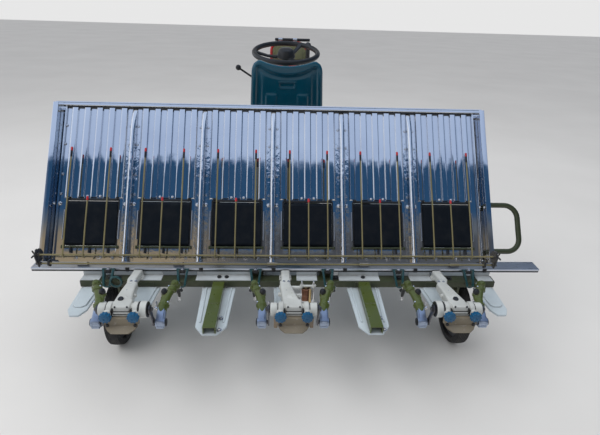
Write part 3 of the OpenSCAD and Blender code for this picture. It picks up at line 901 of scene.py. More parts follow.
def platform_back():
    """Back rail, stays below the sheet's joints and slide shoes under the platform."""
    s = Shape(PLATFORM_PLACE)
    s.prism(rounded([(465, -17), (505, -17), (505, -3.2), (465, -3.2)], 3), -820, 820, "x", 0.5)
    for x in BOUNDARIES:
        s.box((x - 15, 90, -11), (x + 15, 660, -3.2), 1.5)
    s.make("platform_back_rail", "platform", "stainless", [RAIL_PAINT])
    shoes = Shape()
    outline = rounded([(9.2, RAIL_TOP + 0.3), (30, RAIL_TOP + 0.3), (30, 448), (12, 424)], 2)
    for i in (-2, -1, 0, 1, 2):
        x = PLATFORM_FOOT.x + i * 390
        shoes.prism(outline, x - 20, x + 20, "x", 1)
    shoes.make("slide_shoes", "platform", "steel", [STEEL])


platform_sheet()
platform_edges()
platform_dividers()
platform_fastenings()
feed_belts()
belt_rollers()
mat_rods()
rod_brackets()
handrail()
platform_back()


# Rear beam, guide rail and gates

def guide_rail():
    """Folded aluminium rail on pale stand-off plates, with a black strip painted as the shadow under its lip, and
    black stops on it.
    """
    s = Shape()
    half, front, lip, lip_shadow_top = 1063, 56, 394.5, 394.8
    profile = [(-8, lip), (-8, 400.5), *arc((-5.5, 400.5), 2.5, 180, 90, 3), (12, 403), (13, 402.2), (15, 402.2),
               (16, 403), (front - 2.5, 403), *arc((front - 2.5, 400.5), 2.5, 90, 0, 3), (front, 399.5), (-5, 399.5),
               (-5, lip)]
    s.prism(profile, -half, half, "x", 0.4)
    s.make("guide_rail_profile", "chassis", "white_paint", [RAIL_PAINT], ["guide_rail"])
    # A black strip painted as the shadow under the rail's lip.
    lip_shadow = Shape()
    lip_shadow.box((-half + 2, -7.8, 387), (half - 2, -4.6, lip_shadow_top), 0.8)
    lip_shadow.make("rail_lip_painted_shadow", "chassis", "black_plastic", [BLACK])
    plates = Shape()
    for x0, x1 in STAND_SPANS:
        plates.box((x0, -4, BEAM_TOP), (x1, -1, RAIL_TOP - 3.5), 1.0)
        plates.box((x0, -43, BEAM_TOP), (x1, -1, BEAM_TOP + 3), 1.0)
    plates.make("rail_stands", "chassis", "white_paint", [PLATE_GREY])
    stops = Shape()
    for row in ROWS:
        stops.box((row + 66, -12, RAIL_TOP - 15), (row + 82, -5, RAIL_TOP + 1.5), 1.5)
        stops.bolt((row + 74, -12, RAIL_TOP - 8), (0, -1, 0), 3.5, 3)
    stops.make("rail_stops", "chassis", "black_plastic", [BLACK])


def seed_gates():
    """Forked teal guides under the rail, one at each row, with a clamp and a bright bolt."""
    s = Shape()
    outline = rounded([(-10, RAIL_TOP - 14), (-10, RAIL_TOP), (-17, RAIL_TOP), (-40, 378), (-61, 352), (-59, 344),
                       (-52, 343), (-47, 362), (-20, 376)], 3)
    slant = math.tan(math.radians(9))
    thick = 8.2
    for row in ROWS:
        for sign in (-1, 1):
            rows = []
            for t in (0.0, 0.8, 7.4, thick):
                shrink = 0.6 if t in (0.0, thick) else 0.0
                rows.append([(row + sign * (16 - (RAIL_TOP - z) * slant + t), y + shrink, z) for y, z in outline])
            s.loft(rows)
        s.box((row - 26, -17, RAIL_TOP - 12), (row + 26, -8.2, RAIL_TOP), 2)
        s.tube([(row - 11.5, -55, 350), (row - 9, -58, 345), (row, -59, 343.6), (row + 9, -58, 345),
                (row + 11.5, -55, 350)], 3.0, 10)
    loop = [(ROWS[0] + 38 + 22 * math.cos(a), -54, 366 + 23 * math.sin(a)) for a in circle(32)]
    s.tube(loop, 4.8, 12, closed=True)
    s.make("seed_gate_forks", "chassis", "teal_paint", [TEAL], ["seed_gates"])
    dark = Shape()
    for row in ROWS:
        dark.box((row - 11, -22, RAIL_TOP - 17), (row + 11, -16, RAIL_TOP - 1), 2)
    dark.make("gate_pads", "chassis", "black_plastic", [BLACK])
    bright = Shape()
    for row in ROWS:
        bright.bolt((row, -14, RAIL_TOP), (0, -0.2, 1), 4.5, 3.5)
    bright.make("gate_bolts", "chassis", "steel", [CHROME])


def crossbeam():
    """Square tube with end caps, wheel legs and the bolts along its top."""
    s = Shape()
    s.box((-858, -47, BEAM_BOTTOM), (858, 3, BEAM_TOP), 4, steps=3)
    y, z = REAR_AXLE
    leg = rounded([(-40, BEAM_BOTTOM + 1), (-4, BEAM_BOTTOM + 1), (-4, 290), (72, 172), (72, 130), (56, 122),
                   (30, 130), (-40, 262)], 8)
    for sign in (-1, 1):
        s.prism(leg, *between(sign, 706, 716), "x", 1.2)
        s.pipe((sign * 696, y, z), (sign * 722, y, z), 22, 11)
        rib = rounded([(-30, BEAM_BOTTOM + 1), (-26, BEAM_BOTTOM + 1), (60, 175), (54, 172)], 1)
        s.prism(rib, *between(sign, 690, 706), "x", 0.8)
    for x in (-590, -290, 10, 290, 590):
        s.box((x - 26, -49, BEAM_BOTTOM + 3), (x + 26, -46, BEAM_TOP - 3), 1)
    s.make("rear_crossbeam", "chassis", "olive_paint", [OLIVE_DULL], ["crossbeam"])
    caps = Shape()
    for sign in (-1, 1):
        low, high = between(sign, 856, 860)
        caps.box((low, -46, BEAM_BOTTOM + 1), (high, 2, BEAM_TOP - 1), 1.5)
    for x in BEAM_BOLTS:
        caps.bolt((x, -22, BEAM_TOP), (0, 0, 1), 9, 8)
    caps.make("beam_caps_and_bolts", "chassis", "black_plastic", [BLACK])
    axles = Shape()
    for sign in (-1, 1):
        axles.bar(sign * 700, sign * 784, y, z, 11.8, 24, 1.5)
        axles.bolt((sign * 780, y, z), (sign, 0, 0), 9, 4)
    axles.make("rear_axles", "chassis", "steel", [STEEL])


# Planting units

CASE_SHIFTS = (-17, -29, -8)
CASE_TOPS = (-32, -27, 14)
CASE_DRUMS = ((24, 30), (24, 24), (30, 24))


def planting_case(name, x, shift, top_shift, drums):
    """White casting: cross tube with end drums, stepped middle and the curved arm to the crossbeam."""
    y, z = CRANK_AXIS.y, CRANK_AXIS.z
    s = Shape()
    s.bar(x - CASE_HALF, x + CASE_HALF, y, z, 22, 40, 2)
    for sign, drum in zip((-1, 1), drums):
        s.bar(x + sign * 60, x + sign * CASE_HALF, y, z, drum, 44, 2)
        s.bar(x + sign * 36, x + sign * 54, y, z, 28, 40, 2)
        s.rod((x + sign * 47, y - 4, z + 2), (x + sign * 47, y - 32, z + 2), 12.5, 28, 2)
        s.box((x + sign * 47 - 9, y - 20, z - 26), (x + sign * 47 + 9, y + 8, z), 5)
    s.box((x - 30, y - 28, z - 22), (x + 30, y + 16, z + 8), 4)
    s.box((x - 33, y - 30, z - 8), (x + 33, y + 6, z - 1), 2.5)
    s.box((x - 29, y - 24, z + 4), (x + 29, y + 26, z + 27), 5)
    places = [(top_shift, -10, 381, 19, 16), (top_shift, -50, 386, 18, 16), (top_shift * 0.97, -95, 395, 18, 16),
              (shift, -140, 403, 21, 17), (shift * 0.8, -190, 409, 24, 20), (shift * 0.6, -232, 412, 27, 22),
              (shift * 0.35, -268, 413, 31, 24), (shift * 0.15, -296, 412, 33, 25)]
    rows = []
    for off, py, pz, w, h in places:
        rows.append([(x + off + a, py, pz + b) for a, b in rounded([(-w, -h), (w, -h), (w, h), (-w, h)], 9, 4)])
    s.loft(rows)
    s.box((x + top_shift - 25, -44, BEAM_TOP), (x + top_shift + 25, -12, BEAM_TOP + 10), 3)
    side = -1 if shift < -10 else 1
    for py, off in ((-118, 19), (-150, 22), (-196, 25)):
        s.rod((x + shift * 0.9 + side * (off - 6), py, 404), (x + shift * 0.9 + side * (off + 5), py, 405), 8, 20, 2)
    s.rod((x + shift * 0.7 - side * 26, -218, 414), (x + shift * 0.7 - side * 34, -220, 416), 7, 18, 2)
    s.rod((x + shift * 0.5, y + 40, z + 10), (x + shift * 0.5, y + 36, z + 27), 12, 24, 2)
    s.make(f"planting_case_{name}", "chassis", "white_paint", [WHITE_CAST],
           ["planting_cases"] if name == "left" else [], cast=1.7, keep=0.4, calm=3)


def case_details():
    """Seal rings, black blocks painted as the shade in the slots between box and necks, oil plugs, bolts and the
    casting's parting line.
    """
    y, z = CRANK_AXIS.y, CRANK_AXIS.z
    s = Shape()
    for x, drums in zip(UNITS.values(), CASE_DRUMS):
        for sign, drum in zip((-1, 1), drums):
            s.pipe((x + sign * 55.5, y, z), (x + sign * 58.5, y, z), drum - 1.5, 18, 40)
            s.pipe((x + sign * (CASE_HALF - 2), y, z), (x + sign * (CASE_HALF + 1.8), y, z), drum - 2, 12.5, 40)
            # Black blocks painted as the shade in the slot between box and neck.
            low, high = between(sign, 30.2, 35.8, x)
            s.box((low, y - 29, z - 20), (high, y - 12, z + 16), 1.5)
        s.box((x - 29, y - 30.6, z - 0.6), (x + 29, y - 26, z + 1.2), 0.6)
        s.box((x - 28, y - 27.2, z + 7.5), (x + 28, y - 20, z + 9.5), 0.6)
        for off in (-21, 21):
            s.rod((x + off, y - 21, z + 23), (x + off, y - 24, z + 28.5), 3.2, 12, 0.8)
    for x, off in ((-614, 24), (596, 24)):
        s.turned((x, y + off, z + 25), (x, y + off - 5, z + 40), [(0, 0), (0, 10), (5, 10), (7.5, 8), (8, 0)], 24)
    s.make("case_seals_and_plugs", "chassis", "black_plastic", [BLACK])
    bright = Shape()
    for x, shift, top in zip(UNITS.values(), CASE_SHIFTS, CASE_TOPS):
        for off, py in ((-15, -36), (15, -36)):
            bright.bolt((x + top + off, py, BEAM_TOP + 10), (0, 0, 1), 4, 3.5)
        for off, py in ((-9, -126), (9, -127), (0, -205)):
            bright.bolt((x + shift * 0.85 + off, py, 417 - 0.12 * (py + 126)), (0, -0.15, 1), 3.4, 3)
    bright.make("case_bolts", "chassis", "steel", [CHROME])


def case_knobs():
    """Blue hand knobs with ten fingertip lobes on white stems."""
    s = Shape()
    stems = Shape()
    back = CRANK_AXIS.y - 42
    for x in UNITS.values():
        for off in (-47, 47):
            outline = []
            for a in circle(100):
                r = KNOB_RADIUS + 1.5 * math.cos(10 * a)
                outline.append((x + off + r * math.cos(a), KNOB_HEIGHT + r * math.sin(a)))
            s.prism(outline, back - 17, back, "y", 3.4, steps=3)
            dome = [(0, 14), (1.6, 13), (2.6, 9), (2.8, 5), (1.6, 3.6), (1.4, 0)]
            s.turned((x + off, back - 16.5, KNOB_HEIGHT), (x + off, back - 20, KNOB_HEIGHT), dome, 32)
            stems.rod((x + off, back + 14, KNOB_HEIGHT), (x + off, back - 1, KNOB_HEIGHT), 9, 24, 0.5)
    s.make("case_hand_knobs", "chassis", "blue_plastic", [KNOB_BLUE], ["case_knobs"])
    stems.make("knob_stems", "chassis", "white_paint", [WHITE_CAST])


def guard_plates():
    """Beige guards behind the cases: an upright face, a flared lip with a bright rolled rim, and side tabs."""
    s = Shape()
    for x in UNITS.values():
        face = rounded([(x - 60, 403), (x + 60, 403), (x + 56, 371), (x - 56, 371)], 4)
        s.prism(face, -339, -335, "y", 0.8)
        rows = []
        for y, z, w in ((-339, 374, 56), (-341, 371.5, 55), (-352, 365.5, 47), (-362.6, 359.5, 31),
                        (-364.5, 359.2, 30.5), (-364, 357, 31), (-352, 362, 47), (-340, 368.5, 55), (-335, 373, 56)):
            rows.append([(x + w * k / 4, y - 0.8 * (1 - (k / 4) ** 2), z) for k in (-4, -3, -2, -1, 0, 1, 2, 3, 4)])
        s.grid([*rows, rows[0]])
        s.box((x - 50, -335, 384), (x + 50, -324, 402), 1.5)
        for sign in (-1, 1):
            low, high = between(sign, 50, 61, x)
            s.box((low, -337, 377), (high, -326, 404), 2)
    s.make("case_guards", "chassis", "beige_plastic", [BEIGE], ["guard_plates"], sharp=30)
    tabs = Shape()
    for off in (-64, 64):
        tabs.box((off - 7, -334, 356), (off + 7, -327, 402), 3)
        tabs.box((off - 6, -330, 386), (off + 6, -310, 397), 3)
    tabs.make("guard_tabs", "chassis", "beige_plastic", [TAB_BROWN])
    dark = Shape()
    head = [(0, 0), (0, 6), (3.5, 6), (5.2, 4), (5.6, 0)]
    for x in UNITS.values():
        for off in (-48, 48):
            dark.turned((x + off, -339, 376), (x + off, -348, 376), head, 18)
    dark.make("guard_bolts", "chassis", "black_plastic", [BLACK])


def planting_arm(alloy, case, dark, bright, x, sign):
    """One planting arm: alloy crank boss, olive housing in two lobes, round cap, black knob and planting fork."""
    def at(side, y, z):
        """A point that is side millimetres out from the unit's middle."""
        return (x + sign * side, y, z)

    pin = CRANK_PIN
    alloy.rod(at(98, pin.y, pin.z), at(133, pin.y, pin.z), 18, 44, 2.5)
    alloy.rod(at(101, pin.y, pin.z), at(106, pin.y, pin.z), 19.2, 44, 1)
    alloy.rod(at(124, pin.y, pin.z), at(128, pin.y, pin.z), 19.2, 44, 1)
    web = rounded([(-291, 345), (-278, 322), (-262, 320), (-236, 336), (-204, 358), (-214, 380), (-232, 384),
                   (-266, 366)], 8)
    alloy.prism(web, *between(sign, 103, 127, x), "x", 3.5)
    lug = rounded([(-285, 346), (-270, 330), (-232, 352), (-244, 374)], 9)
    alloy.prism(lug, *between(sign, 99, 131, x), "x", 4)
    alloy.rod(at(101, -284, 324), at(129, -284, 324), 7, 24, 1.5)
    # Lower lobe, neck and upper lobe of the housing
    case.tube([at(114, -252, 354), at(115, -238, 364), at(117, -222, 374), at(121, -204, 385)],
              [15.5, 17.5, 18, 16.5], 28)
    case.rod(at(117, -226, 368), at(120, -216, 378), 20.5, 32, 2)
    case.tube([at(119, -214, 378), at(124, -198, 388), at(133, -178, 399), at(142, -160, 408), at(147, -146, 414)],
              [16, 14.5, 13.5, 14, 14.5], 28)
    case.rod(at(138, -170, 402), at(142, -160, 408), 18.5, 32, 2)
    case.rod(at(148, -126, 403), at(148, -152, 424.8), 14.2, 36, 2)
    case.rod(at(148, -150, 423.2), at(148, -156, 428.2), 12.2, 36, 1.2)
    case.rod(at(148, -155, 427.4), at(148, -158.5, 430.3), 5.5, 24, 1)
    case.rod(at(115, -182, 388), at(115, -182, 400), 12.5, 28, 2)
    case.tube([at(116, -196, 388), at(115, -186, 393)], [12, 11], 20)
    case.rod(at(150, -150, 406), at(164, -146, 402), 9, 24, 2)
    case.tube([at(150, -132, 404), at(156, -120, 395), at(154, -112, 384)], [10, 9, 6], 16)
    case.rod(at(104, -200, 388), at(136, -196, 386), 7, 20, 1.5)
    for point in (at(134, -216, 384), at(104, -214, 380), at(160, -134, 412), at(136, -130, 410), at(128, -158, 415)):
        bright.rod(point, (point[0], point[1] - 4, point[2] + 5), 3.2, 6, 0.5)
    bright.rod(at(163, -146, 402), at(168, -145, 401), 5.5, 6, 0.8)
    knob = [(0, 0), (0, 9), (3, 11.8), (9, 12.2), (14, 11), (18, 8), (20.5, 4), (21, 0)]
    dark.turned(at(115, -182, 400), at(115, -184, 418), knob, 32)
    dark.tube([at(133, pin.y, pin.z), at(136, pin.y, pin.z)], 14, 28)
    dark.tube([at(136.5, pin.y, pin.z), at(137.5, pin.y, pin.z)], 8, 24)
    dark.tube([at(150, -128, 388), at(152, -119, 358), at(152, -114, 338)], [8, 7, 5], 18)
    dark.rod(at(160, -140, 398), at(166, -128, 374), 6, 20, 1.5)
    bright.tube([at(150, -140, 410), at(152, -126, 372), at(152, -116, 345), at(152.6, -112, 318)], 2.6, 12)
    bright.tube([at(145, -138, 404), at(147, -124, 366), at(147, -114, 338), at(147.4, -112, 318)], 2.2, 12)
    bright.rod(at(88, -232, 372), at(101, -236, 366), 5, 16, 1)
    bright.rod(at(92, -222, 392), at(96, -236, 360), 3.4, 14, 0.8)


def planting_arms():
    """Both arms of each unit, which ride together on the crank's pin."""
    for name, x in UNITS.items():
        alloy, case, dark, bright = Shape(), Shape(), Shape(), Shape()
        for sign in (-1, 1):
            planting_arm(alloy, case, dark, bright, x, sign)
        rides = f"arms_{name}"
        alloy.make(f"arm_alloy_{name}", rides, "aluminium", [ALLOY_SKY_TINTED], [f"arm_bodies_{name}"])
        case.make(f"arm_castings_{name}", rides, "olive_paint", [OLIVE], [f"arm_housings_{name}"], cast=1.6, keep=0.4,
                  calm=4)
        dark.make(f"arm_knobs_{name}", rides, "black_plastic", [BLACK])
        bright.make(f"arm_forks_{name}", rides, "steel", [CHROME])


def cranks():
    """Crankshafts through the cases, with slim webs, grip nuts and pins at both ends."""
    y, z = CRANK_AXIS.y, CRANK_AXIS.z
    dy, dz = CRANK_PIN.y - y, CRANK_PIN.z - z
    lean, length = math.atan2(dz, dy), math.hypot(dy, dz)

    def bend(cy, cz, radius, start):
        """Half a circle round one end."""
        angles = [start + math.pi * i / 12 for i in range(13)]
        return [(cy + radius * math.cos(a), cz + radius * math.sin(a)) for a in angles]

    def waist(share, half):
        """A point beside the line from axis to pin."""
        along, c, n = length * share, math.cos(lean), math.sin(lean)
        return (y + along * c + half * n, z + along * n - half * c)

    web = [*bend(y, z, 17, lean + math.pi / 2), waist(0.35, 9), waist(0.65, 8),
           *bend(CRANK_PIN.y, CRANK_PIN.z, 13, lean - math.pi / 2), waist(0.65, -8), waist(0.35, -9)]
    for name, x in UNITS.items():
        s = Shape()
        s.bar(x - 92, x + 92, y, z, 11.9, 28, 1)
        for sign in (-1, 1):
            s.prism(web, *between(sign, 87.5, 93, x), "x", 1.2)
            s.bar(x + sign * 90, x + sign * 136, CRANK_PIN.y, CRANK_PIN.z, 8, 24, 1)
            s.bolt((x + sign * 93, y, z), (sign, 0, 0), 8, 6)
        s.make(f"crankshaft_{name}", f"crank_{name}", "steel", [DARK_STEEL], [f"crank_{name}"])


def depth_device():
    """Return spring drum, posts and cross pipes beside the middle arm."""
    white = Shape()
    for y, z in ((-150, 404), (-190, 396)):
        white.bar(-30, 34, y, z, 7.5, 20, 1)
        white.bar(-34, -27, y, z, 10, 20, 1)
    white.tube([(30, SPRING_Y, 424), (86, SPRING_Y, 424)], 5, 12)
    for x in (34, 80):
        white.rod((x - 3, SPRING_Y, 418), (x + 3, SPRING_Y, 430), 8, 16, 1)
    white.make("depth_pipes", "chassis", "white_paint", [WHITE_CAST])
    coil = Shape()
    turns, steps = 8, 22
    path = []
    for i in range(turns * steps + 1):
        a = 2 * math.pi * i / steps
        height = 362 + 54 * i / (turns * steps)
        path.append((SPRING_X + 15 * math.cos(a), SPRING_Y + 15 * math.sin(a), height))
    coil.tube(path, 3.3, 8)
    coil.make("depth_return_spring", "chassis", "copper_spring", [COPPER], ["depth_spring"])
    core = Shape()
    core.rod((SPRING_X, SPRING_Y, 356), (SPRING_X, SPRING_Y, 421), 9, 24, 1)
    core.rod((66, -184, 362), (66, -184, 420), 5.5, 20, 1)
    core.ball((66, -184, 358), 7, sides=16)
    core.make("depth_spring_core", "chassis", "copper_spring", [BRASS])
    posts = Shape()
    for x in (34, 80):
        posts.rod((x, SPRING_Y, 352), (x, SPRING_Y, 446), 3.2, 14, 0.8)
        posts.bolt((x, SPRING_Y, 434), (0, 0, 1), 5, 4, washer=False)
    posts.bar(34, 80, SPRING_Y, 354, 3.2, 14, 0.8)
    posts.make("depth_posts", "chassis", "steel", [CHROME])


guide_rail()
seed_gates()
crossbeam()
for case_row in zip(UNITS, UNITS.values(), CASE_SHIFTS, CASE_TOPS, CASE_DRUMS):
    planting_case(*case_row)
case_details()
case_knobs()
guard_plates()
planting_arms()
cranks()
depth_device()


# Floats, frame and wheels

def float_tails():
    """Moulded tails behind the crossbeam, stiffened by a raised panel and two ribs."""
    s = Shape()
    tails = [(-300, 136, 335, 42), (300, 136, 335, 42), (-600, 120, 200, 30), (600, 120, 200, 30),
             (-816, 86, 228, 36), (816, 86, 228, 36), (-45, 60, 200, 20)]
    for x, width, reach, clip in tails:
        w, taper, rear = width / 2, width * 0.42, clip - reach
        outline = [(x - w, -40), (x + w, -40), (x + taper, rear), (x + w * 0.4, -reach),
                   (x - w * 0.4, -reach), (x - taper, rear)]
        s.prism(rounded(outline, 4, 3), FLOAT_BOTTOM, BEAM_BOTTOM - 2, "z", 3, steps=3)
        if width < 130:
            inner = [(x - w + 12, -48), (x + w - 12, -48), (x + taper - 11, rear + 22), (x + taper - 24, rear + 10),
                     (x - taper + 24, rear + 10), (x - taper + 11, rear + 22)]
            s.prism(rounded(inner, 3, 2), BEAM_BOTTOM - 6, BEAM_BOTTOM + 4, "z", 3.5, steps=3)
        else:
            for side in (-1, 1):
                rib = [(x + side * off, y)
                       for off, y in ((w - 20, -48), (w - 13, -48), (taper - 11, rear + 20), (taper - 18, rear + 20))]
                s.prism(rounded(rib, 2.5, 2), BEAM_BOTTOM - 6, BEAM_BOTTOM + 2, "z", 2)
    s.make("float_tails_moulded", "chassis", "white_plastic", [FLOAT_PLASTIC], ["float_tails"])


def tail_channels():
    """Olive channels over the middle tails, open at the rear, with a weld line and nuts beside them."""
    s = Shape()
    nuts = Shape()
    for x in (-300, 300):
        outline = [(x - 23, BEAM_BOTTOM), (x - 23, 364), (x + 23, 364), (x + 23, BEAM_BOTTOM),
                   (x + 19.5, BEAM_BOTTOM), (x + 19.5, 360), (x - 19.5, 360), (x - 19.5, BEAM_BOTTOM)]
        s.prism(outline, -338, -47, "y", 0.7)
        s.box((x - 19.5, -300, BEAM_BOTTOM), (x + 19.5, -60, 342), 0.5)
        s.tube([(x - 22.5, -196, 364), (x - 8, -198, 364.4), (x + 8, -195, 364.4), (x + 22.5, -197, 364)], 1.3, 6)
        for y in (-250, -316):
            nuts.bolt((x + 33, y, BEAM_BOTTOM - 1), (0, 0, 1), 6, 6)
            nuts.rod((x + 33, y, BEAM_BOTTOM), (x + 33, y, BEAM_BOTTOM + 9), 3, 12, 0.6)
    s.make("tail_channels_open", "chassis", "olive_paint", [OLIVE], ["tail_channels"])
    nuts.make("tail_nuts", "chassis", "steel", [CHROME])


def floats():
    """Float plates in front of the crossbeam with turned-up noses and moulded ribs."""
    s = Shape()
    plates = ((-190, 190, 1304, 74, 96), (-870, -235, 800, 150, 140), (235, 870, 800, 150, 140))
    for x0, x1, y1, nose, rise in plates:
        knee, tip = FLOAT_BOTTOM + 0.5 * rise, FLOAT_BOTTOM + rise
        low = rounded([(8, FLOAT_BOTTOM), (y1 - nose, FLOAT_BOTTOM), (y1 - 14, knee), (y1, tip), (y1 - 10, tip + 4),
                       (y1 - 28, knee + 6), (y1 - nose - 4, BEAM_BOTTOM), (8, BEAM_BOTTOM)], 30, 6)
        s.prism(low, x0, x1, "x", 5, steps=3)
        count = 2 if x1 - x0 < 400 else 4
        for i in range(count):
            x = x0 + (x1 - x0) * (i + 0.5) / count
            rib = rounded([(30, BEAM_BOTTOM - 2), (y1 - nose - 30, BEAM_BOTTOM - 2),
                           (y1 - nose - 50, BEAM_BOTTOM + 7), (50, BEAM_BOTTOM + 7)], 10, 3)
            s.prism(rib, x - 14, x + 14, "x", 4, steps=3)
    s.make("float_plates", "chassis", "white_plastic", [FLOAT_PLASTIC], ["floats"])


def main_frame():
    """Rails, cross-members, mast, gooseneck, support bar and seat post."""
    y_bar, z_bar, top, post_x, girder_top = 310.1, 802.3, 385, 350, BEAM_BOTTOM + 40
    s = Shape()
    for side in (-1, 1):
        low, high = between(side, 120, 165)
        s.box((low, 3, BEAM_BOTTOM), (high, 1222, top), 5, steps=3)
        low, high = between(side, post_x - 20, post_x + 20)
        s.box((low, y_bar - 20, BEAM_BOTTOM), (high, y_bar + 20, z_bar - 12), 4, steps=3)
        s.box((low - 8, y_bar - 28, girder_top - 4), (high + 8, y_bar + 28, girder_top + 4), 1)
        gusset = rounded([(y_bar - 20, top - 8), (y_bar - 58, top - 8), (y_bar - 20, top + 60)], 3)
        s.prism(gusset, side * post_x - 3, side * post_x + 3, "x", 0.8)
        s.rod((side * post_x, y_bar, z_bar - 22), (side * post_x, y_bar, z_bar - 4), 18, 24, 2)
    for y in (y_bar, 420, 580, 940, 1100):
        s.box((-121, y - 20, BEAM_BOTTOM), (121, y + 20, top), 3)
    s.box((-600, y_bar - 20, BEAM_BOTTOM), (600, y_bar + 20, girder_top), 4, steps=3)
    s.box((-165, 1210, BEAM_BOTTOM + 38), (165, 1260, top + 40), 5, steps=3)
    mast = rounded([(1215, top), (1215, 800), (DRIVE_Y - 30, 800), (DRIVE_Y - 30, 750), (1262, 750), (1262, top)],
                   22, 6)
    s.prism(mast, -45, 45, "x", 6, steps=3)
    for side in (-1, 1):
        plate = rounded([(1222, 690), (1222, 792), (1360, 792), (1360, 758), (1270, 742)], 8)
        s.prism(plate, *between(side, 45, 49), "x", 0.8)
    s.pipe((0, DRIVE_Y, 740), (0, DRIVE_Y, 806), 45, 20.5, 40)
    s.pipe((0, DRIVE_Y, 796), (0, DRIVE_Y, 806), 48, 21, 40)
    s.bar(-700, 700, y_bar, z_bar, 14, 28, 2)
    s.rod((SEAT_X, SEAT_POST_Y, top), (SEAT_X, SEAT_POST_Y, 700), 45, 40, 2)
    s.rod((SEAT_X, SEAT_POST_Y, top), (SEAT_X, SEAT_POST_Y, top + 10), 66, 40, 2)
    s.make("main_frame_welded", "chassis", "olive_paint", [OLIVE_DULL], ["main_frame"])
    b = Shape()
    for side in (-1, 1):
        for y in (330, 520, 760, 1010, 1170):
            b.bolt((side * 165, y, 360), (side, 0, 0), 6, 5)
        for x in (-140, -60, 60, 140):
            b.bolt((x, 1260, 400), (0, 1, 0), 6, 5)
        for y in (1240, 1300, 1345):
            b.bolt((side * 49, y, 775), (side, 0, 0), 5.5, 4.5)
        b.bolt((side * 470, y_bar, girder_top), (0, 0, 1), 8, 6)
        b.bolt((side * 550, y_bar, girder_top), (0, 0, 1), 8, 6)
    for a in circle(6):
        x, y = SEAT_X + 56 * math.cos(a), SEAT_POST_Y + 56 * math.sin(a)
        b.bolt((x, y, top + 10), (0, 0, 1), 5, 4)
    b.make("frame_bolts", "chassis", "steel", [STEEL])


def footboards():
    """Checker-plate boards with folded lips on both sides of the mast."""
    s = Shape()
    top = 388.4
    diamond = [(-8, 0, 388.3), (0, 2.4, 388.3), (8, 0, 388.3), (0, -2.4, 388.3), (-4, 0, 389.9), (4, 0, 389.9)]
    for side in (-1, 1):
        low, high = between(side, 70, 340)
        s.box((low, 860, 385), (high, 1205, top), 0.8)
        edge_low, edge_high = between(side, 336, 340)
        s.box((edge_low, 862, 379), (edge_high, 1203, 389), 0.8)
        for i in range(12):
            for k in range(15):
                x = low + 14 + i * 22
                y = 874 + k * 22.5
                if x > high - 10:
                    continue
                lean = math.radians(45 if (i + k) % 2 else -45)
                dx, dy = math.cos(lean), math.sin(lean)
                pad = [(x + along * dx - across * dy, y + along * dy + across * dx, z)
                       for along, across, z in diamond]
                s.add(pad, [(0, 1, 4), (1, 5, 4), (1, 2, 5), (2, 3, 5), (3, 4, 5), (3, 0, 4), (0, 3, 2, 1)])
    s.make("footboards_checkered", "chassis", "checker_plate", [CHECKER], ["footboards"], sharp=20)


def work_gearbox():
    """Cast gearbox between the frame rails, with covers, ribs and a drain plug."""
    s = Shape()
    middle, shaft, floor, lid = 500, 500, 385, 464
    s.box((-84, 392, floor), (84, 608, 545), 14, steps=4)
    s.box((-98, 384, 452), (98, 616, lid), 3)
    s.box((-98, 388, floor), (98, 612, 397), 3)
    for y in (430, 500, 570):
        s.box((-92, y - 4, 390), (92, y + 4, 540), 3)
    s.bar(-99, 99, middle, shaft, 42, 40, 4)
    s.rod((0, middle, 540), (0, middle, 558), 52, 40, 4)
    s.rod((0, 382, 430), (0, 420, 430), 34, 32, 3)
    s.rod((0, 580, 430), (0, 618, 430), 38, 32, 3)
    s.make("work_gearbox_cast", "chassis", "aluminium", [ALLOY_SKY_TINTED], ["work_gearbox"], cast=4, keep=0.4, calm=4)
    b = Shape()
    for side in (-1, 1):
        for a in circle(6):
            y, z = middle + 33 * math.cos(a), shaft + 33 * math.sin(a)
            b.bolt((side * 98.5, y, z), (side, 0, 0), 4.2, 3.2, washer=False)
        for y in (405, 465, 535, 595):
            b.bolt((side * 92, y, lid), (0, 0, 1), 4.5, 4)
    b.turned((0, middle, 557), (0, middle, 560), [(0, 0), (0, 12), (2.6, 12), (3, 10), (3, 0)], 8)
    b.make("gearbox_bolts", "chassis", "steel", [STEEL])


# Driver's place

def seat():
    """One-piece shell: raked back with rounded corners and a dished pan."""
    s = Shape()
    x0, half, foot = SEAT_X, SEAT_HALF, 704
    rings = []
    for i in range(27):
        t = i / 26
        z = foot + (SEAT_TOP - foot) * t
        y_back = 798 - 63 * smooth_step((z - 700) / 440) ** 0.8
        y_front = y_back + 60 - 34 * t
        corner = max(0.0, (z - 1082) / 58)
        w = half - 46 * (1 - math.sqrt(max(0.0, 1 - corner ** 2)))
        ring = rounded([(-w, y_back + 8), (-w * 0.6, y_back), (w * 0.6, y_back), (w, y_back + 8),
                        (w, y_front + 12), (w * 0.6, y_front), (-w * 0.6, y_front), (-w, y_front + 12)], 14, 3)
        rings.append([(x0 + x, y, z - (5 * (1 - (x / half) ** 2) if t > 0.97 else 0)) for x, y in ring])
    s.loft(rings, turned=True)
    pan = []
    for i in range(22):
        t = i / 21
        y = 800 + 316 * t
        w = half - 24 * max(0.0, (t - 0.72) / 0.28) ** 2
        dish = 9 * math.sin(math.pi * min(1.0, t * 1.05))
        z_top = 757 - 10 * t - 16 * max(0.0, (t - 0.82) / 0.18) ** 2
        section = rounded([(-w, 702), (w, 702), (w, z_top + 2), (w * 0.72, z_top - dish), (-w * 0.72, z_top - dish),
                           (-w, z_top + 2)], 16, 3)
        pan.append([(x0 + x, y, z) for x, z in section])
    s.loft(pan)
    obj = s.make("seat_shell", "chassis", "seat_plastic", [SEAT_TEAL], ["seat"], cast=4, calm=8)
    shape_back(obj)


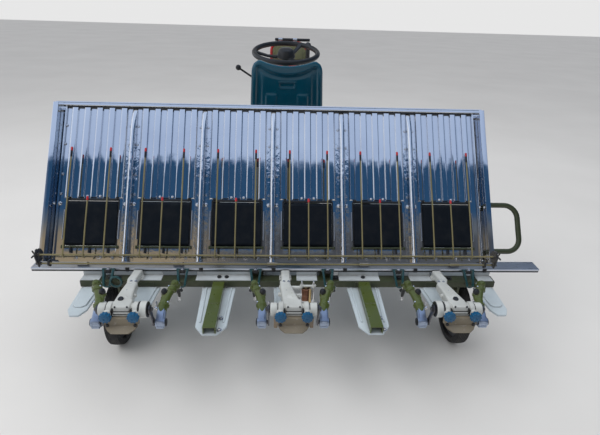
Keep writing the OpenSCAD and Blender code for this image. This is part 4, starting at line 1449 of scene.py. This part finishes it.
def shape_back(obj):
    """Tapers and dips the back and presses its soft rim, gutter, framed recess and two pads into it."""
    bm = bmesh.new()
    bm.from_mesh(obj.data)
    bm.normal_update()
    half, top, hand_hold = SEAT_HALF, SEAT_TOP, 1026
    to_rail = RAIL_PLACE.inverted()
    for v in bm.verts:
        here = to_rail @ v.co
        x, z = here.x - SEAT_X, here.z
        dip = 23 * max(0.0, 1 - (x / 135) ** 2)
        if z > 720 and v.normal.y < -0.4:
            gutter = smooth_step((half - 20 - abs(x)) / 16) * smooth_step((top - dip - 22 - z) / 16)
            panel = smooth_step((half - 50 - abs(x)) / 14) * smooth_step((top - dip - 46 - z) / 16)
            pads = smooth_step((33 - abs(abs(x) - 80)) / 12) * smooth_step((990 - z) / 22)
            pads *= smooth_step((z - 756) / 20)
            rim = smooth_step((47 - abs(x)) / 5) * smooth_step((21 - abs(z - hand_hold)) / 5)
            recess = smooth_step((40 - abs(x)) / 4) * smooth_step((14 - abs(z - hand_hold)) / 4)
            v.co.y += (11 * gutter - 4 * panel - 5 * pads - 2.5 * rim + 6 * recess) * MM
        wide = 0.03 * smooth_step((z - 720) / 60) - 0.06 * smooth_step((z - 860) / 270)
        v.co.x += wide * x * MM
        v.co.z += 9 * smooth_step((z - 1000) / 130) * MM
        v.co.z -= dip * smooth_step((z - 1010) / 125) * MM
    bm.to_mesh(obj.data)
    bm.free()


def steering_wheel():
    """Thick rim, three dished spokes and a tall hub with a domed cap."""
    s = Shape(STEER_PLACE)
    rim, thick = 195, 15
    section = [(thick * math.sin(a), rim + thick * math.cos(a)) for a in circle(20)]
    s.turned((0, 0, 0), (0, 0, 1), section, 96, ring=True)
    hub = [(0, 10), (0, 54), (3, 57), (7, 57.5), (30, 50), (42, 46), (46, 43.5), (48, 39), (50, 0)]
    s.turned((0, 0, -28), (0, 0, 1), hub, 44)
    spoke = ((36, 18, 9, -20), (66, 15, 8, -27), (112, 13, 7, -22), (160, 13.5, 8, -9), (190, 18, 10, 0))
    for a in (60, 180, 300):
        c, n = math.cos(math.radians(a)), math.sin(math.radians(a))
        rows = []
        for r, w, h, z in spoke:
            ring = rounded([(-w, z - h), (w, z - h), (w, z + h), (-w, z + h)], 7, 3)
            rows.append([(c * r - n * u, n * r + c * u, v) for u, v in ring])
        s.grid(rows, closed=True)
    s.make("steering_wheel_moulded", "steering_wheel", "black_plastic", [BLACK], ["steering_wheel"], sharp=45)
    cap = Shape(STEER_PLACE)
    cap.turned((0, 0, 20), (0, 0, 21), [(0, 0), (0, 39), (1.5, 39.5), (3, 38), (5, 30), (6.2, 17), (6.6, 0)], 40)
    cap.make("steering_wheel_cap", "steering_wheel", "black_plastic", [BLACK_PAINT])


def steering_column():
    """Column tube with its collars, shaft and foot."""
    s = Shape(STEER_PLACE)
    s.pipe((0, 0, -322), (0, 0, -34), 19.5, 9.2, 28)
    s.rod((0, 0, -54), (0, 0, -34), 25, 28, 3, tip=21)
    s.rod((0, 0, -322), (0, 0, -300), 26, 28, 3)
    s.rod((0, 0, -42), (0, 0, -5), 9, 20, 0.5)
    s.make("steering_column_tube", "chassis", "olive_paint", [OLIVE_DULL], ["steering_column"])
    base = Shape()
    flange = [(0, 0), (0, 44), (6, 44), (8, 38), (20, 36), (24, 28), (24, 0)]
    foot_x, foot_y = SEAT_X + 5, 1399
    base.turned((foot_x, foot_y, 800), (foot_x, foot_y, 824), flange, 36)
    for a in circle(4):
        x, y = foot_x + 39 * math.cos(a + 0.4), foot_y + 39 * math.sin(a + 0.4)
        if abs(x) < 44:
            base.bolt((x, y, 806), (0, 0, 1), 4, 3, washer=False)
    base.make("column_foot", "chassis", "black_plastic", [BLACK])


def levers():
    """Cranked lever with a ball knob."""
    s = Shape()
    path = [(SEAT_X - 32, 1387, 852), (-90, 1374, 888), (-160, 1361, 932), (-240, 1346, 985), (-304, 1333, 1028)]
    s.tube(path, 6, 14)
    s.box((SEAT_X - 52, 1372, 836), (SEAT_X - 18, 1400, 864), 4)
    s.make("lever_rod", "chassis", "black_paint", [BLACK_PAINT])
    k = Shape()
    knob = [(0, 0), (0, 8), (3, 10), (8, 15.5), (16, 17.5), (25, 15), (31, 9), (34, 0)]
    k.turned((-302, 1333.5, 1027), (-330, 1328, 1046), knob, 28)
    k.make("lever_knob", "chassis", "black_plastic", [BLACK], ["levers"])


# Drive unit

def drive_leg():
    """Chain case down to the drive axle, with a bolted cover, king pin and axle boss."""
    s = Shape()
    case = [(40, 811), (34, 560), (40, 370), (26, 332)]
    flange = [(43, 806), (38, 560), (43, 366), (28, 329)]
    case, flange = ([(DRIVE_Y - half[0][0], half[0][1]), *[(DRIVE_Y + w, z) for w, z in half],
                     *[(DRIVE_Y - w, z) for w, z in half[:0:-1]]] for half in (case, flange))
    s.prism(rounded(case, 16), -150, -112, "x", 6, steps=3)
    s.prism(rounded(flange, 16), -134, -126, "x", 2)
    axle = DRIVE_AXLE_HEIGHT
    s.bar(-156, -64, DRIVE_Y, axle, 32, 36, 4)
    s.bar(-154, -110, DRIVE_Y, 770, 30, 36, 4)
    for z in (450, 560, 670):
        s.box((-152, DRIVE_Y - 30, z - 4), (-110, DRIVE_Y + 30, z + 4), 2)
    s.make("drive_leg_case", "drive_unit", "aluminium", [ENGINE_GREY], ["drive_leg"], cast=3.5, keep=0.45, calm=4)
    b = Shape()
    for z in (380, 460, 545, 630, 715, 790):
        for y in (-36, 36):
            b.bolt((-133, DRIVE_Y + y, z), (-1, 0, 0), 4.2, 3.4)
    b.bar(-64, 57, DRIVE_Y, axle, 19.9, 28, 1.5)
    b.rod((0, DRIVE_Y, 735), (0, DRIVE_Y, 812), 19.9, 28, 1)
    b.bolt((57, DRIVE_Y, axle), (1, 0, 0), 12, 7)
    b.make("drive_axle_and_bolts", "drive_unit", "steel", [STEEL])


def engine_bed():
    """Welded bed of two channels and four cross-members."""
    s = Shape()
    y0, y1, bottom = DRIVE_Y - 170, DRIVE_Y + 190, BED_TOP - 24
    for side in (-1, 1):
        low, high = between(side, 118, 160)
        s.box((low, y0, bottom), (high, y1, BED_TOP), 4, steps=3)
    for y in (y0, DRIVE_Y - 60, DRIVE_Y + 60, y1 - 44):
        s.box((-120, y, bottom), (120, y + 44, BED_TOP), 3)
    s.box((-118, y0 + 4, bottom + 2), (118, y1 - 4, bottom + 6), 1)
    s.make("engine_bed_welded", "drive_unit", "olive_paint", [OLIVE_DULL], ["engine_bed"])
    b = Shape()
    for side in (-1, 1):
        for y in (y0 + 22, DRIVE_Y - 92, DRIVE_Y + 80, y1 - 22):
            b.bolt((side * 139, y, BED_TOP), (0, 0, 1), 6.5, 5)
    b.make("bed_bolts", "drive_unit", "steel", [STEEL])


def engine():
    """Open single-cylinder engine: crankcase, finned cylinder, fan cowl, fuel tank and air cleaner."""
    y0, shaft, fan = DRIVE_Y, 890, 902
    shaft_y = y0 - 20
    c = Shape()
    c.box((-78, y0 - 100, 838), (70, y0 + 60, 936), 16, steps=4)
    c.bar(-92, 84, shaft_y, shaft, 44, 40, 4)
    c.box((-70, y0 + 40, 850), (62, y0 + 160, 930), 12, steps=3)
    c.rod((0, y0 + 60, 880), (0, y0 + 168, 896), 40, 32, 4)
    c.make("engine_crankcase", "drive_unit", "engine_paint", [ENGINE_GREY], ["engine"], cast=3.5, keep=0.4, calm=4)
    fins = Shape()
    for i in range(9):
        y = y0 + 74 + i * 10
        fins.box((-66, y, 852), (58, y + 3, 968), 4)
    fins.rod((-4, y0 + 60, 908), (-4, y0 + 166, 908), 42, 32, 2)
    fins.make("engine_fins", "drive_unit", "aluminium", [ALLOY_SKY_TINTED])
    cowl = Shape()
    cowl.bar(66, 98, shaft_y, fan, 62, 48, 10)
    cowl.box((62, y0 - 60, 880), (92, y0 + 60, 962), 12, steps=3)
    cowl.make("engine_fan_cowl", "drive_unit", "black_plastic", [BLACK], cast=3, keep=0.4, calm=3)
    grille = Shape()
    for r in (16, 27, 38, 49):
        grille.pipe((97, shaft_y, fan), (99.4, shaft_y, fan), r + 2, r - 1, 40)
    grille.bar(96, 99.8, shaft_y, fan, 10, 24, 1)
    grille.make("engine_starter_grille", "drive_unit", "steel", [DARK_STEEL])
    tank = Shape()
    tank.box((-92, y0 - 112, 956), (60, y0 + 92, 1032), 20, steps=5)
    tank.turned((-20, y0 - 40, 1026), (-20, y0 - 40, 1040), [(0, 0), (0, 24), (10, 24), (13, 20), (13.5, 0)], 28)
    tank.make("engine_fuel_tank", "drive_unit", "red_paint", [RED])
    box = Shape()
    box.box((-98, y0 + 96, 946), (-30, y0 + 168, 1020), 12, steps=4)
    box.box((-22, y0 + 100, 972), (84, y0 + 166, 1012), 10, steps=4)
    box.make("engine_air_cleaner", "drive_unit", "black_plastic", [BLACK])
    pulley = Shape()
    for x in (-98, -92):
        pulley.bar(x - 2, x + 3, shaft_y, shaft, 46, 40, 1)
    pulley.bar(-100, -88, shaft_y, shaft, 38, 32, 1)
    pulley.make("engine_pulley", "drive_unit", "steel", [STEEL])


def front_hoop():
    """Red hoop with the olive panel, the black grab bar on two bright clamps and the exhaust."""
    y, half, bend, bend_z = DRIVE_Y + 20, 115, 55, 1107
    s = Shape()
    inner = half - bend
    bends = arc((inner, bend_z), bend, 0, 90, 10) + arc((-inner, bend_z), bend, 90, 180, 10)
    path = [(half, y, BED_TOP), (half, y, 960), (half, y, bend_z), *[(px, y, pz) for px, pz in bends],
            (-half, y, 960), (-half, y, BED_TOP)]
    s.tube(path, 11.5, 20)
    for side in (-1, 1):
        s.rod((side * half, y, BED_TOP), (side * half, y, BED_TOP + 6), 18, 24, 1)
    s.make("engine_hoop_tube", "drive_unit", "red_paint", [RED], ["engine_hoop"], sharp=50)
    p = Shape()
    front = y - 11
    outline = rounded([(-106, 1040), (120, 1040), (120, 1118), (82, 1157), (-80, 1157), (-106, 1122)], 7, 4)
    p.prism(outline, front - 5, front, "y", 1.5)
    p.prism(rounded([(-84, 1056), (96, 1056), (98, 1106), (76, 1139), (-72, 1139), (-84, 1112)], 7, 4), front - 9,
            front - 4, "y", 2)
    for x in (-93, 106):
        for z in (1052, 1100):
            p.bolt((x, front - 5, z), (0, -1, 0), 4, 3)
    p.make("hoop_panel_pressed", "drive_unit", "olive_paint", [PANEL], ["hoop_panel"])
    g = Shape()
    bar = 1181
    g.bar(-92, 148, y, bar, 9.6, 24, 4)
    g.make("grab_bar_grip", "drive_unit", "black_plastic", [BLACK], ["grab_bar"])
    k = Shape()
    for x in (-55, 45):
        k.pipe((x - 14, y, bar), (x + 14, y, bar), 11, 9, 28)
        k.box((x - 13, y - 9, bar - 20), (x + 13, y + 9, bar - 7), 2)
        for off in (-7, 7):
            k.bolt((x + off, y - 8, bar - 13), (0, -1, 0), 3.2, 3, washer=False)
    k.make("grab_bar_clamps", "drive_unit", "steel", [CHROME])
    e = Shape()
    foot = Vector((132, DRIVE_Y - 42, BED_TOP))
    height = 338
    stack = [(0, 0), (0, 21), (5, 21), (8, 16.5), (12, 14.5), (306, 14.5), (307, 20), (326, 20), (329, 18), (337, 4),
             (height, 0)]
    e.turned(foot, foot + Vector((0, 0, height)), stack, 36)
    for i in range(14):
        at = foot + Vector((0, 0, 40 + i * 9))
        e.pipe(at, at + Vector((0, 0, 2.4)), 16, 13.5, 32)
    e.make("exhaust_stack", "drive_unit", "black_paint", [BLACK_PAINT], ["exhaust"])


def drive_wheel():
    """Spoked rim with fifteen rubber lugs, one of them on the ground."""
    y, z = DRIVE_Y, DRIVE_AXLE_HEIGHT
    start, end = (0, y, z), (1, y, z)
    s = Shape()
    profile = [(-30, 300), (-28, 296), (-20, 291), (20, 291), (28, 296), (30, 300), (27, 300), (18, 288.5),
               (-18, 288.5), (-27, 300)]
    s.turned(start, end, profile, 72, ring=True)
    s.turned(start, end, [(-45, 21), (-45, 40), (-41, 44), (41, 44), (45, 40), (45, 21)], 40, ring=True)
    for a in circle(6):
        c, n = math.cos(a), math.sin(a)
        s.tube([(0, y + n * 40, z - c * 40), (0, y + n * 290, z - c * 290)], 11, 16)
        s.ball((0, y + n * 44, z - c * 44), 15, sides=14)
    s.make("drive_wheel_rim", "drive_wheel", "steel", [STEEL], ["drive_rim"], sharp=40)
    t = Shape()
    band = [(-31, 300.3), (-32, 306), (-26, 312), (26, 312), (32, 306), (31, 300.3)]
    t.turned(start, end, band, 60, ring=True)
    for a in circle(15):
        c, n = math.cos(a), math.sin(a)
        rows = []
        for r, w, h in ((309, 34, 10), (322, 40, 7.5), (338, 44, 6.5), (348, 45, 6), (349.8, 44, 4.5)):
            ring = [(-w, -h), (w, -h), (w, h), (-w, h)]
            rows.append([(u, y + n * r + c * v, z - c * r + n * v) for u, v in rounded(ring, 2, 2)])
        t.loft(rows)
    t.make("drive_wheel_lugs", "drive_wheel", "black_rubber", [TYRE], ["drive_lugs"], sharp=35)


def rear_wheels():
    """Ribbed tyres on pressed hubs, bolted through."""
    y, z = REAR_AXLE
    for name, x in (("left", -REAR_WHEEL_X), ("right", REAR_WHEEL_X)):
        t = Shape()
        band = 119.8
        profile = [(-24, 121), (-27, 126), (-27, 138), (-24, 145)]
        for i in range(13):
            u = -22 + 44 * i / 12
            profile.append((u, 149.6 - 0.004 * u * u - (1.7 if i % 2 else 0)))
        profile += [(24, 145), (27, 138), (27, 126), (24, 121), (12, band), (-12, band)]
        t.turned((x, y, z), (x + 1, y, z), profile, 72, ring=True)
        body = f"rear_wheel_{name}"
        t.make(f"rear_tyre_{name}_ribbed", body, "black_tyre", [TYRE], [f"rear_tyre_{name}"], sharp=40)
        h = Shape()
        side = 1 if x > 0 else -1
        half = [(6, 34), (9, 28), (24, 28), (27, 26), (27, 12.3)]
        dish = [(-10, 119.6), (10, 119.6), (10, 116), (6, 108)]
        profile = [(-u, r) for u, r in half[::-1]] + [(-6, 108), (-10, 116)] + dish + half
        h.turned((x, y, z), (x + side, y, z), profile, 48, ring=True)
        for a in circle(6):
            for s in (-1, 1):
                h.bolt((x + s * 6, y + 52 * math.cos(a), z + 52 * math.sin(a)), (s, 0, 0), 5, 4)
        h.make(f"rear_hub_{name}_pressed", body, "steel", [DARK_STEEL], [f"rear_hub_{name}"])


float_tails()
tail_channels()
floats()
main_frame()
footboards()
work_gearbox()
seat()
steering_wheel()
steering_column()
levers()
drive_leg()
engine_bed()
engine()
front_hoop()
drive_wheel()
rear_wheels()


bpy.context.scene.view_settings.view_transform = "Standard"
make_camera()
make_floor()
make_world()
make_lamp("key", (-3.5, -2.5, 4.5), (0, 0, 0.5), 3.0, 110, (1.0, 0.99, 0.97))
make_lamp("top", (0.5, 0.5, 5.0), (0, 0, 0), 4.0, 70, (0.95, 0.98, 1.0))
